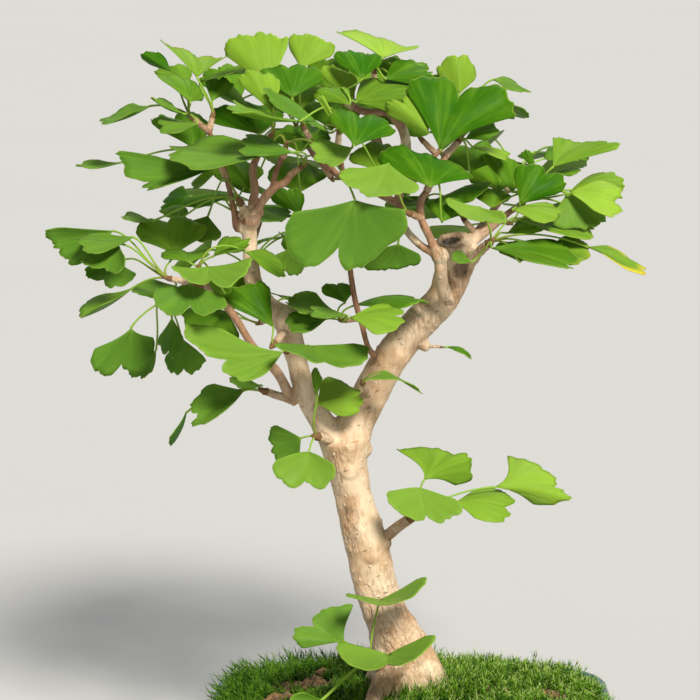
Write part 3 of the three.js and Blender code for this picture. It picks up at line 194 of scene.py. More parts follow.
# Leaves placed one by one. Each row: the shoot that carries it; where the blade meets its
# stalk (across, down, depth); its first side corner, the middle of its outer edge and its
# second side corner (across, down); the blade's reach in mm; lean (+1 tips away, -1 towards
# the front); twist (the first corner leans back by this much more, the second by as much
# less); and the depth of the cleft.
LEAVES = [
    ["low_right", 424, 480, -12, 394, 450, 458, 452, 468, 484, 30, 0.9, 0.1, 0.1],
    ["low_right", 421, 488, -16, 378, 494, 429, 524, 466, 503, 26, -0.9, 0, 0.34],
    ["low_right", 455, 503, -12, 482, 484, 515, 508, 480, 525, 31, 0.2, 0.6, 0.16],
    ["low_right", 495, 487, -4, 507, 456, 566, 485, 546, 509, 38, 0.5, 0.3, 0.14],
    ["basal", 380, 600, -22, 341, 590, 387, 603, 437, 573, 32, -0.9, 0, 0.04],
    ["basal", 345, 642, -30, 354, 602, 304, 621, 297, 649, 26, 0.3, 0.5, 0.2],
    ["basal", 388, 655, -40, 326, 638, 388, 671, 439, 626, 33, -0.9, 0, 0.42],
    ["basal", 322, 700, -40, 300, 690, 286, 712, 304, 728, 22, -0.7, 0.3, 0.4],
    ["trunk_left", 318, 404, -18, 321, 373, 362, 396, 343, 418, 24, 0.4, 0.5, 0.1],
    ["trunk_left", 301, 438, -14, 277, 424, 269, 447, 296, 474, 24, 0.6, 0.3, 0.1],
    ["trunk_left", 309, 452, -22, 268, 461, 304, 491, 341, 466, 23, -0.8, 0, 0.2],
    ["limb_left", 243, 391, -17, 208, 380, 190, 418, 222, 416, 30, -0.4, 0.5, 0.1],
    ["limb_left", 186, 413, -4, 182, 428, 171, 444, 172, 436, 21, 0, 0.9, 0.1],
    ["limb_left", 261, 386, 10, 240, 374, 228, 380, 244, 389, 19, 0.5, 0.5, 0.2],
    ["knuckle", 282, 352, -26, 186, 312, 208, 364, 264, 377, 54, -0.5, -0.2, 0.24],
    ["knuckle", 310, 346, -26, 268, 339, 329, 366, 376, 347, 34, -0.8, 0, 0.26],
    ["lower_end", 131, 328, -20, 86, 352, 119, 379, 160, 341, 27, 0.5, -0.4, 0.25],
    ["lower_end", 172, 318, -8, 157, 340, 168, 357, 186, 345, 20, 0.5, 0.3, 0.14],
    ["lower_end", 181, 338, -4, 161, 362, 185, 375, 209, 360, 22, 0.5, 0.2, 0.17],
    ["lower_end", 156, 350, 2, 128, 367, 138, 379, 155, 368, 19, 0.4, 0.4, 0.11],
    ["lower_left", 113, 231, -6, 46, 227, 54, 250, 80, 268, 38, 0.3, 0.3, 0.12],
    ["lower_left", 133, 237, -16, 92, 231, 76, 242, 98, 253, 29, 0, 0.8, 0.11],
    ["lower_left", 118, 244, -24, 77, 257, 102, 272, 128, 264, 23, -0.7, 0.2, 0.15],
    ["lower_left", 131, 289, -18, 98, 296, 78, 316, 106, 306, 30, 0.1, 0.8, 0.06],
    ["lower_left", 176, 286, -8, 150, 280, 131, 290, 156, 299, 24, 0.3, 0.6, 0.11],
    ["lower_left", 175, 254, -10, 131, 238, 166, 215, 211, 233, 27, 0.8, 0.1, 0.14],
    ["knob_left", 178, 219, 6, 156, 213, 172, 206, 190, 211, 18, 0.8, 0, 0.11],
    ["knob_left", 152, 221, 2, 134, 213, 122, 217, 136, 223, 16, 0.3, 0.7, 0.06],
    ["lower_mid", 190, 263, -24, 157, 256, 186, 250, 213, 257, 21, 0.9, 0, 0.11],
    ["lower_mid", 214, 256, -22, 220, 240, 244, 237, 248, 250, 20, 0.6, 0.2, 0.06],
    ["lower_mid", 208, 267, -28, 168, 264, 213, 287, 260, 259, 28, -0.9, 0, 0.4],
    ["lower_mid", 246, 252, -16, 270, 246, 286, 274, 260, 266, 24, 0.4, 0.5, 0.08],
    ["lower_mid", 190, 284, -36, 146, 291, 190, 319, 232, 295, 24, -0.8, 0, 0.36],
    ["knob_front", 273, 327, -24, 217, 302, 238, 286, 270, 284, 32, 0.4, -0.1, 0.02],
    ["twig_left", 212, 168, -20, 113, 148, 133, 181, 164, 190, 51, -0.1, 0.6, 0.22],
    ["twig_left", 119, 163, 8, 92, 161, 75, 165, 90, 168, 23, 0, 0.8, 0.06],
    ["elbow", 276, 151, -20, 212, 131, 167, 155, 224, 165, 56, -0.1, 0.7, 0.04],
    ["elbow", 292, 152, -20, 262, 130, 240, 146, 262, 158, 28, 0, 0.6, 0.11],
    ["knob_left", 243, 206, 8, 250, 226, 291, 216, 268, 205, 28, 0, -0.7, 0.06],
    ["top_left", 172, 73, 14, 142, 61, 147, 51, 165, 56, 20, 0.5, 0.2, 0.04],
    ["top_left", 187, 89, -8, 156, 77, 164, 66, 194, 69, 22, 0.7, 0.1, 0.17],
    ["top_left", 190, 102, -14, 153, 76, 182, 76, 207, 99, 23, 0.7, 0.1, 0.17],
    ["top_left_right", 197, 77, -2, 161, 38, 196, 54, 230, 54, 30, 0.7, 0, 0.17],
    ["top_left_right", 200, 82, 16, 236, 66, 248, 69, 234, 76, 27, 0, 0.8, 0.06],
    ["top_left_right", 212, 101, 6, 204, 82, 220, 77, 235, 87, 18, 0.6, 0, 0.11],
    ["top_mid", 250, 108, 18, 234, 85, 211, 85, 220, 100, 22, 0.2, 0.5, 0.11],
    ["top_left", 184, 114, -18, 166, 101, 151, 97, 160, 104, 20, 0.4, 0.5, 0.03],
    ["top_left", 150, 106, -10, 128, 102, 99, 123, 124, 114, 28, 0, 0.8, 0.03],
    ["top_left", 197, 124, -18, 173, 117, 158, 126, 178, 136, 21, 0, 0.8, 0.11],
    ["top_mid", 258, 134, 20, 208, 122, 232, 104, 290, 112, 30, 0.5, 0, 0.11],
    ["top_mid", 270, 88, -10, 218, 49, 253, 33, 291, 40, 35, 0.5, 0.1, 0.02],
    ["crown_left", 301, 68, 0, 287, 46, 307, 33, 341, 54, 23, 0.7, 0, 0.02],
    ["crown_left", 292, 98, -16, 256, 74, 288, 64, 330, 76, 25, 0.8, 0, 0.14],
    ["top_mid", 272, 112, -20, 237, 80, 254, 71, 283, 80, 25, 0.6, 0, 0.03],
    ["crown_front", 330, 133, -22, 286, 96, 264, 88, 276, 104, 40, 0.1, 0.4, 0.06],
    ["crown_front", 301, 121, -26, 246, 104, 230, 105, 240, 112, 37, 0, 0.6, 0.06],
    ["crown_front", 341, 133, -30, 318, 101, 321, 96, 328, 103, 21, 0.2, 0, 0],
    ["leader_top", 383, 58, -2, 334, 28, 377, 37, 424, 48, 30, 0.8, 0, 0.1],
    ["leader_side", 362, 79, -8, 331, 60, 354, 50, 386, 62, 20, 0.8, 0, 0.05],
    ["leader_top", 386, 79, -6, 393, 60, 433, 70, 414, 84, 25, 0.3, 0.5, 0.14],
    ["leader_side", 356, 102, -18, 362, 76, 430, 92, 434, 130, 42, 0.3, 0.2, 0.1],
    ["leader_side", 350, 105, -24, 311, 98, 328, 87, 350, 89, 22, 0.7, 0.1, 0.11],
    ["crown_front", 355, 146, -34, 324, 117, 362, 112, 400, 134, 26, 0.8, 0, 0.1],
    ["crown_front", 352, 148, -36, 322, 137, 311, 154, 340, 169, 23, -0.3, 0.6, 0.14],
    ["red_low", 388, 164, -40, 333, 172, 374, 195, 426, 189, 30, -0.8, 0, 0.05],
    ["red_mid", 430, 187, -36, 374, 164, 416, 148, 475, 181, 34, 0.8, 0, 0.08],
    ["red_end", 440, 150, -24, 402, 86, 465, 77, 523, 112, 46, 0.6, 0, 0.26],
    ["red_end", 459, 94, 4, 434, 73, 456, 55, 480, 74, 22, 0.6, 0, 0.02],
    ["red_end", 428, 132, -30, 385, 114, 398, 98, 434, 102, 25, 0.6, 0.1, 0.14],
    ["red_end", 466, 139, -16, 477, 121, 498, 128, 487, 141, 18, 0.4, 0.4, 0],
    ["right_high", 553, 167, 4, 553, 137, 589, 141, 625, 145, 38, 0.5, 0, 0.03],
    ["right_high", 534, 169, 16, 520, 155, 527, 150, 534, 158, 11, 0.5, 0, 0.05],
    ["red_end", 474, 148, 4, 498, 148, 510, 157, 494, 158, 21, 0, 0.7, 0.06],
    ["right_high", 520, 204, 0, 512, 168, 549, 168, 568, 192, 27, 0.5, 0, 0.1],
    ["right_high", 556, 173, 14, 571, 166, 581, 170, 571, 176, 14, 0.2, 0.6, 0.06],
    ["right_high", 572, 190, 12, 590, 173, 619, 177, 622, 200, 27, 0.3, 0.3, 0.05],
    ["right_high", 570, 193, -4, 600, 176, 625, 203, 601, 219, 29, -0.1, 0.6, 0.26],
    ["right_high", 567, 193, -12, 546, 222, 590, 229, 605, 211, 24, -0.6, 0, 0.06],
    ["right_high", 513, 210, -14, 545, 202, 563, 212, 541, 223, 26, 0, 0.6, 0.05],
    ["right", 514, 218, -16, 556, 221, 597, 231, 556, 236, 42, -0.1, 0.5, 0.04],
    ["right", 480, 207, -22, 439, 196, 486, 224, 509, 210, 21, -0.9, 0, 0.08],
    ["red_mid", 442, 222, -36, 423, 205, 446, 197, 470, 211, 18, 0.8, 0, 0.14],
    ["right_high", 492, 208, 16, 472, 196, 493, 188, 513, 198, 16, 0.8, 0, 0.11],
    ["right_high", 512, 192, 12, 477, 151, 508, 157, 537, 168, 26, 0.5, 0, 0.05],
    ["right", 492, 248, -18, 546, 238, 578, 263, 540, 269, 46, -0.3, 0.6, 0.14],
    ["right", 548, 249, -4, 566, 235, 591, 248, 572, 268, 23, 0.1, 0.6, 0.12],
    ["right", 588, 247, -6, 614, 244, 647, 274, 610, 257, 33, 0, 0.5, 0.03],
    ["right", 508, 233, 4, 522, 215, 546, 223, 530, 236, 20, 0.4, 0.3, 0.11],
    ["inner_top", 355, 200, -50, 278, 213, 330, 276, 417, 212, 40, -0.35, 0, 0.34],
    ["red_low", 398, 244, -22, 355, 257, 388, 272, 426, 256, 24, 0.3, 0, 0.14],
    ["thin_top", 296, 246, 4, 268, 257, 284, 276, 307, 266, 18, 0.3, 0, 0.14],
    ["thin_top", 300, 214, 14, 268, 200, 286, 187, 306, 197, 20, 0.4, 0.1, 0.11],
    ["thin_side", 347, 315, -32, 322, 304, 310, 311, 326, 319, 20, 0, 0.6, 0.11],
    ["thin_side", 350, 318, -40, 384, 301, 406, 318, 378, 335, 29, -0.2, 0.6, 0.22],
    ["thin_side", 334, 311, -14, 310, 290, 286, 301, 304, 314, 27, 0, 0.6, 0.11],
    ["thin_side", 345, 303, -6, 318, 293, 336, 282, 356, 290, 17, 0.7, 0, 0.11],
    ["thin_side", 356, 305, -26, 394, 296, 428, 301, 396, 308, 40, 0, 0.6, 0.06],
    ["thin_side", 326, 319, -20, 298, 311, 285, 325, 306, 336, 22, -0.1, 0.6, 0.14],
    ["limb_bud", 386, 371, -24, 361, 383, 394, 380, 425, 394, 24, -0.4, 0, 0.03],
    ["limb_right", 448, 347, 0, 460, 347, 472, 358, 458, 352, 14, 0, 0.5, 0.06],
    ["trunk_left", 317, 396, -8, 311, 372, 317, 368, 322, 379, 14, 0.3, 0.4, 0],
    ["right", 472, 262, -20, 459, 249, 451, 258, 462, 264, 12, 0.2, 0.3, 0.1],
    ["leader_side", 352, 99, -14, 318, 73, 336, 66, 358, 80, 20, 0.6, 0, 0.04],
    # Leaves in the shade between the outer ones
    ["twig_left", 196, 150, 18, 150, 128, 170, 112, 214, 124, 28, 0.8, 0, 0.14],
    ["top_mid", 240, 100, 26, 198, 86, 214, 66, 250, 74, 26, 0.7, 0, 0.14],
    ["inner_top", 250, 190, 12, 212, 176, 232, 160, 268, 170, 25, 0.7, 0, 0.11],
    ["crown_left", 300, 110, 30, 262, 94, 292, 78, 330, 92, 26, 0.8, 0, 0.17],
    ["crown_left", 332, 130, 30, 298, 113, 330, 98, 366, 112, 27, 0.8, 0, 0.11],
    ["leader_side", 330, 90, 16, 298, 74, 326, 58, 352, 72, 24, 0.8, 0, 0.17],
    ["leader_top", 402, 86, 14, 372, 68, 404, 57, 432, 70, 24, 0.8, 0, 0.17],
    ["leader_top", 420, 112, 20, 388, 98, 420, 84, 450, 98, 26, 0.8, 0, 0.11],
    ["red_end", 470, 172, 8, 436, 158, 470, 143, 505, 156, 28, 0.8, 0, 0.17],
    ["red_end", 486, 120, 14, 460, 102, 488, 89, 512, 104, 22, 0.7, 0, 0.11],
    ["right_high", 500, 192, 26, 462, 178, 498, 161, 532, 176, 28, 0.8, 0, 0.17],
    ["right_high", 590, 213, 22, 560, 200, 592, 188, 618, 204, 24, 0.8, 0, 0.11],
    ["crown_front", 300, 152, 6, 262, 140, 296, 124, 336, 138, 28, 0.8, 0, 0.17],
    ["crown_front", 380, 172, 12, 344, 158, 382, 143, 416, 156, 26, 0.8, 0, 0.11],
    ["knob_left", 208, 216, 22, 172, 226, 188, 241, 226, 236, 24, -0.7, 0, 0.11],
    ["lower_left", 118, 262, 8, 84, 264, 100, 285, 140, 278, 26, -0.6, 0, 0.17],
    ["lower_mid", 232, 302, 2, 204, 287, 230, 272, 262, 288, 24, 0.7, 0, 0.11],
    ["inner_top", 300, 192, 22, 262, 178, 296, 161, 334, 176, 26, 0.8, 0, 0.17],
    ["right", 520, 262, 12, 492, 250, 522, 240, 552, 252, 22, 0.7, 0, 0.11],
]

# Shoots at the back, with the number of leaves that spread round each.
REAR_SHOOTS = [
    ["rear_a", 4], ["rear_b", 4], ["rear_c", 4], ["rear_d", 4], ["rear_e", 4],
    ["rear_f", 4], ["rear_g", 4], ["rear_h", 3], ["rear_i", 4], ["rear_j", 3],
    ["rear_k", 4], ["rear_l", 3], ["rear_m", 4],
]

# ---------------------------------------------------------------- the leaves' looks, one by one, with painted light and shade in their tones

# Leaves whose margin has started to yellow, by their place in the list, and how far.
YELLOWING = {42: 0.12, 86: 1.0, 85: 0.2}
# How pale some leaves are, from deep green (0) to lime (1), and which leaves those are. This is partly each
# leaf's own tone and partly painted light and shade: leaves that catch the light are set paler, and leaves in
# shade are set deeper green.
PALENESS_WITH_PAINTED_LIGHT = {
    0.0: (12, 13, 16, 17, 18, 19, 20, 34, 37, 38, 39, 49, 54, 58, 62, 65, 66, 73, 88, 89),
    0.1: (9, 22, 32, 33, 52, 59),
    0.2: (5, 11, 15, 21, 35, 36, 69, 83, 84),
    0.3: (28, 41),
    0.4: (26, 29, 31, 40, 55, 60, 61, 77),
    0.5: (4, 25, 70, 85, 86),
    0.6: (0, 6, 14, 30, 42, 75, 79),
    0.7: (1, 2, 10, 63, 64, 78, 93, 102),
    0.8: (8, 50, 51, 53, 67, 68, 72, 80),
    0.9: (3,),
    1.0: (56, 57, 76),
}
TONES_WITH_PAINTED_LIGHT = {serial: tone for tone, serials in PALENESS_WITH_PAINTED_LIGHT.items() for serial in serials}
# Stalks thicker than the rest.
STOUT = {7: 1.5}
# Blades unlike the rest: how far their first and second sides draw in towards the stalk
# (below 0 they belly out), and how far their first and second corners are rounded off.
BLADE_FORMS = {
    0: (0.55, 0.45, -0.06, 0.15), 1: (-0.30, -0.15, 0.12, 0.15), 3: (0.50, 0.35, -0.05, 0.10),
    4: (-0.10, 0.0, 0.10, 0.22), 5: (0.40, 0.30, 0.0, 0.10), 6: (-0.30, -0.25, 0.15, 0.15),
    9: (0.05, 0.05, 0.0, 0.05), 10: (-0.25, -0.15, 0.12, 0.12), 11: (-0.10, -0.10, 0.10, 0.05),
    14: (0.45, -0.15, 0.25, 0.10), 15: (-0.15, -0.15, 0.15, 0.20), 16: (0.30, 0.25, 0.10, 0.10),
    30: (0.05, 0.0, 0.0, 0.10), 33: (0.10, 0.15, 0.0, 0.0), 34: (0.05, 0.10, 0.30, 0.15),
    36: (-0.15, -0.15, 0.10, 0.10), 42: (0.20, 0.20, -0.08, -0.05), 50: (0.0, 0.0, 0.05, 0.05),
    57: (0.25, 0.10, -0.08, 0.10), 60: (-0.10, 0.05, 0.10, 0.15), 65: (0.0, 0.10, 0.10, -0.05),
    66: (0.20, 0.45, 0.05, -0.06), 70: (0.10, 0.10, -0.05, 0.0), 88: (0.05, 0.05, 0.08, 0.08),
    98: (0.0, 0.0, -0.08, -0.08),
}

# ---------------------------------------------------------------- helpers

pot_low, pot_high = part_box("pot")
ORIGIN = np.array([(pot_low[0] + pot_high[0]) / 2, (pot_low[1] + pot_high[1]) / 2, pot_low[2]])
METRES = 0.001
MILLIMETRES = 1000
SPOT_FADE = (1.25, 0.7)


def to_world(points):
    return np.asarray(points, dtype=float) * METRES + ORIGIN


def from_world(points):
    return (points - ORIGIN) * MILLIMETRES


def seen(across, down, depth):
    """The point at a depth behind a place on the sight plane."""
    right = (across - GRID_MIDDLE) * STEP
    up = (GRID_MIDDLE - down) * STEP
    ahead = EYE_BACK + up * math.sin(EYE_PITCH)
    below = EYE_RISE - up * math.cos(EYE_PITCH)
    reach = (depth + EYE_BACK) / ahead
    return np.array([LOOK_AT_X + right * reach, depth, LOOK_AT_Z + EYE_RISE - below * reach])


def sighted(points):
    """Where points are seen from the front: across and down, in steps."""
    fall = (LOOK_AT_Z + EYE_RISE - points[:, 2]) / (points[:, 1] + EYE_BACK)
    up = (EYE_RISE - fall * EYE_BACK) / (math.cos(EYE_PITCH) + fall * math.sin(EYE_PITCH))
    reach = (points[:, 1] + EYE_BACK) / (EYE_BACK + up * math.sin(EYE_PITCH))
    return GRID_MIDDLE + (points[:, 0] - LOOK_AT_X) / reach / STEP, GRID_MIDDLE - up / STEP


def scatter(a, b):
    """A fixed value between 0 and 1 that looks random."""
    value = math.sin(a * 12.9898 + b * 78.233) * 43758.5453
    return value - math.floor(value)


def unit(v):
    v = np.asarray(v, dtype=float)
    return v / np.maximum(np.linalg.norm(v, axis=-1, keepdims=True), 1e-12)


def turned(v, axis, angle):
    return (v * math.cos(angle) + np.cross(axis, v) * math.sin(angle)
            + axis * np.dot(axis, v) * (1 - math.cos(angle)))


def smoothstep(low, high, x):
    t = np.clip((x - low) / (high - low), 0, 1)
    return t * t * (3 - 2 * t)


def spotted(spots, across, down):
    """How far each place lies inside the nearest of some soft oval spots."""
    best = np.zeros(len(across))
    for x, y, half_x, half_y, strength in spots:
        far = np.hypot((across - x) / half_x, (down - y) / half_y)
        best = np.maximum(best, strength * smoothstep(*SPOT_FADE, far))
    return best


def round_angles(count):
    return 2 * np.pi * np.arange(count) / count


def tree_of(points):
    """A search tree of numbered points."""
    tree = KDTree(len(points))
    for k, point in enumerate(points):
        tree.insert(point, k)
    tree.balance()
    return tree


def new_object(name, data):
    made = bpy.data.objects.new(name, data)
    bpy.context.scene.collection.objects.link(made)
    return made


def add_piece(name, mesh, material, slot, *nodes):
    """A piece of the visual model, riding the root, in place of some CAD nodes or of none."""
    piece = new_object(name, mesh)
    piece.data.materials.append(material)
    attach(piece, "root")
    if nodes:
        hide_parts(*nodes)
    return piece


def evaluated_mesh(piece):
    """A new mesh of the piece as its modifiers leave it."""
    view = bpy.context.evaluated_depsgraph_get()
    return bpy.data.meshes.new_from_object(piece.evaluated_get(view))


def finished(mesh, values):
    """The mesh, smoothly shaded, with its point attributes written."""
    for key, value in values.items():
        layer = mesh.attributes.new(key, "FLOAT", "POINT")
        layer.data.foreach_set("value", value.astype(np.float32))
    mesh.polygons.foreach_set("use_smooth", [True] * len(mesh.polygons))
    mesh.update()
    return mesh


class Shape:
    """Points, faces and point attributes that grow piece by piece into one mesh."""

    def __init__(self):
        self.points = []
        self.faces = []
        self.values = {}
        self.count = 0

    def add(self, points, faces, **values):
        """Adds points in mm, faces that number them from 0, and attributes for all or each of them."""
        points = np.asarray(points, dtype=float)
        for name, value in values.items():
            given = np.broadcast_to(np.asarray(value, dtype=float), (len(points),))
            self.values.setdefault(name, []).append(given)
        self.points.append(points)
        self.faces += [tuple(i + self.count for i in face) for face in faces]
        self.count += len(points)

    def mesh(self, name):
        mesh = bpy.data.meshes.new(name)
        mesh.from_pydata(to_world(np.vstack(self.points)).tolist(), [], self.faces)
        return finished(mesh, {key: np.concatenate(parts) for key, parts in self.values.items()})


def stack(rings, foot, crown):
    """Points and faces of a stack of rings, closed by a foot and a crown point."""
    count, sides = len(rings), len(rings[0])
    pairs = [(j, (j + 1) % sides) for j in range(sides)]
    faces = [(k * sides + a, k * sides + b, (k + 1) * sides + b, (k + 1) * sides + a)
             for k in range(count - 1) for a, b in pairs]
    faces += [(count * sides, b, a) for a, b in pairs]
    last = (count - 1) * sides
    faces += [(count * sides + 1, last + a, last + b) for a, b in pairs]
    return np.vstack([*rings, foot, crown]), faces


def rails(line):
    """Directions, normals and sides along a line of points, carried without twist."""
    along = unit(np.vstack([line[1:], line[-1:]]) - np.vstack([line[:1], line[:-1]]))
    normal = np.array([1.0, 0, 0]) if abs(along[0][0]) < 0.8 else np.array([0, 1.0, 0])
    normals = []
    for way in along:
        normal = unit(normal - way * np.dot(normal, way))
        normals.append(normal)
    return along, np.array(normals), np.cross(along, normals)


def tube(line, radii, sides, dome=0.4):
    """Points and faces of a closed tube, with a rounded far end."""
    along, normals, across = rails(line)
    angles = round_angles(sides)[None, :, None]
    if radii.ndim == 1:
        radii = radii[:, None] * np.ones(sides)
    rings = line[:, None] + radii[:, :, None] * (
        np.cos(angles) * normals[:, None] + np.sin(angles) * across[:, None])
    return stack(rings, line[0], line[-1] + along[-1] * float(radii[-1].mean()) * dome)


def smooth_line(points, widths, spacing):
    """A Catmull-Rom line through the points, with the widths carried along."""
    points = np.asarray(points, dtype=float)
    before = np.vstack([2 * points[0] - points[1], points, 2 * points[-1] - points[-2]])
    line, out = [], []
    for k in range(len(points) - 1):
        p0, p1, p2, p3 = before[k:k + 4]
        steps = max(2, int(np.linalg.norm(p2 - p1) / spacing))
        for t in np.arange(steps) / steps:
            line.append(0.5 * (2 * p1 + (p2 - p0) * t + (2 * p0 - 5 * p1 + 4 * p2 - p3) * t * t
                               + (3 * p1 - p0 - 3 * p2 + p3) * t ** 3))
            ease = t * t * (3 - 2 * t)
            out.append(widths[k] * (1 - ease) + widths[k + 1] * ease)
    return np.array(line + [points[-1]]), np.array(out + [widths[-1]])


# ---------------------------------------------------------------- materials

LEAF_DEEP, LEAF_LIME = (0.030, 0.134, 0.002), (0.265, 0.430, 0.042)
LEAF_CLOUD = (0.150, 0.280, 0.008)
LEAF_VEIN = (0.30, 0.46, 0.06)
LEAF_DARK_STREAK, LEAF_PALE_STREAK = (0.020, 0.085, 0.002), (0.230, 0.400, 0.030)
LEAF_THROAT = (0.28, 0.42, 0.06)
LEAF_MARGIN_AND_HIGHLIGHT, LEAF_YELLOW = (0.36, 0.48, 0.08), (0.66, 0.52, 0.05)
LEAF_UNDER = (0.15, 0.28, 0.04)
STALK_FOOT, STALK_TIP = (0.24, 0.27, 0.05), (0.25, 0.42, 0.05)
BUD_DARK, BUD_PALE = (0.11, 0.055, 0.025), (0.30, 0.17, 0.08)
BARK_TAN, BARK_PALE = (0.56, 0.355, 0.190), (0.78, 0.600, 0.410)
BARK_SMEAR, BARK_GRAIN = (0.42, 0.225, 0.11), (0.34, 0.19, 0.09)
BARK_LIGHT, BARK_DOT = (0.78, 0.60, 0.40), (0.86, 0.71, 0.50)
BARK_FURROW_SHADE, BARK_GROOVE_SHADE, BARK_CRACK = (0.38, 0.205, 0.095), (0.24, 0.125, 0.06), (0.15, 0.075, 0.040)
YOUNG_SHADED_PALE, YOUNG_SHADED_DARK = (0.38, 0.185, 0.095), (0.20, 0.085, 0.042)
STAIN_AND_SHADE_PALE, STAIN_AND_SHADE_DARK = (0.20, 0.120, 0.065), (0.040, 0.024, 0.015)
HOLLOW_BLACK = (0.028, 0.017, 0.011)
CREAM, CREAM_GRAIN = (0.88, 0.74, 0.52), (0.52, 0.36, 0.20)
MOSS_PAINTED_SHADE, MOSS_PAINTED_SHADE_PALE = (0.005, 0.014, 0.002), (0.014, 0.034, 0.003)
MOSS_DARK, MOSS_LIVELY = (0.024, 0.110, 0.002), (0.250, 0.540, 0.012)
MOSS_PATCH, MOSS_TIP_AND_HIGHLIGHT = (0.17, 0.33, 0.012), (0.70, 0.76, 0.30)
DIRT_DARK, DIRT_PALE = (0.015, 0.008, 0.004), (0.06, 0.030, 0.015)
GRAIN_DARK, GRAIN_PALE, GRAIN_DUST = (0.055, 0.026, 0.010), (0.25, 0.130, 0.046), (0.38, 0.25, 0.12)
GLAZE_POOLED, GLAZE_THIN = (0.010, 0.060, 0.085), (0.035, 0.170, 0.190)
GLAZE_FLECK, GLAZE_EDGE = (0.10, 0.30, 0.30), (0.16, 0.20, 0.15)
CLAY_DARK, CLAY_PALE = (0.16, 0.085, 0.045), (0.30, 0.18, 0.11)
MESH_DARK, MESH_PALE = (0.012, 0.012, 0.012), (0.035, 0.035, 0.034)
FLOOR_DARK, FLOOR_PALE = (0.50, 0.50, 0.49), (0.52, 0.52, 0.51)

# Radians of the wave that makes the veins near the stalk, from the middle of a blade to its side.
VEIN_WAVES = 38.0
CRACK_SLANT = math.radians(24.0)


def new_material(name):
    """A new material, and the Nodes to write its tree with."""
    material = bpy.data.materials.new(name)
    material.use_nodes = True
    return material, Nodes(material.node_tree)


class Nodes:
    """A short way to write a node tree: most calls add a node and give one of its outputs."""

    def __init__(self, tree):
        self.tree = tree

    def put(self, socket, value):
        """Links an output to a socket, or sets the socket to a constant value."""
        if isinstance(value, bpy.types.NodeSocket):
            self.tree.links.new(value, socket)
        elif socket.type == "RGBA":
            socket.default_value = (*value, 1)
        else:
            socket.default_value = value

    def shade(self, inputs):
        """Links or sets inputs of the material's shader."""
        shader = self.tree.nodes["Principled BSDF"]
        for key, value in inputs.items():
            self.put(shader.inputs[key], value)

    def add(self, kind, output, inputs, **settings):
        """A new node, set up and wired; gives the output asked for."""
        made = self.tree.nodes.new(kind)
        for key, value in settings.items():
            setattr(made, key, value)
        for key, value in inputs.items():
            self.put(made.inputs[key], value)
        return made.outputs[output]

    def attributes(self, *names):
        return [self.add("ShaderNodeAttribute", "Fac", {}, attribute_name=name) for name in names]

    def position(self):
        return self.add("ShaderNodeTexCoord", "Object", {})

    def math(self, operation, a, b=0.0):
        return self.add("ShaderNodeMath", 0, {0: a, 1: b}, operation=operation)

    def plus(self, a, b):
        return self.math("ADD", a, b)

    def minus(self, a, b):
        return self.math("SUBTRACT", a, b)

    def times(self, a, b):
        return self.math("MULTIPLY", a, b)

    def spread(self, value, low, high, to_low=0.0, to_high=1.0):
        return self.add("ShaderNodeMapRange", "Result", {
            "Value": value, "From Min": low, "From Max": high, "To Min": to_low, "To Max": to_high,
        }, interpolation_type="SMOOTHSTEP")

    def mix(self, share, first, second):
        return self.add("ShaderNodeMix", 2, {0: share, 6: first, 7: second}, data_type="RGBA")

    def over(self, base, share, strength, colour):
        """The base with a colour laid over it by a share, at full share by the strength."""
        return self.mix(self.times(share, strength), base, colour)

    def stretch(self, vector, *scale):
        return self.add("ShaderNodeMapping", "Vector", {"Vector": vector, "Scale": scale})

    def noise(self, vector, scale, detail=3.0, roughness=0.55, distortion=0.0):
        return self.add("ShaderNodeTexNoise", "Fac", {
            "Vector": vector, "Scale": scale, "Detail": detail, "Roughness": roughness,
            "Distortion": distortion})

    def spots(self, vector, scale, inner, outer, rarity):
        """Round spots at scattered places, of which only some are kept."""
        far = self.add("ShaderNodeTexVoronoi", "Distance", {"Vector": vector, "Scale": scale})
        red = self.add("ShaderNodeSeparateColor", "Red", {"Color": far.node.outputs["Color"]})
        kept = self.math("GREATER_THAN", red, rarity)
        return self.times(self.spread(far, inner, outer, 1.0, 0.0), kept)

    def bump(self, height, distance, strength):
        return self.add("ShaderNodeBump", "Normal", {
            "Height": height, "Distance": distance, "Strength": strength})


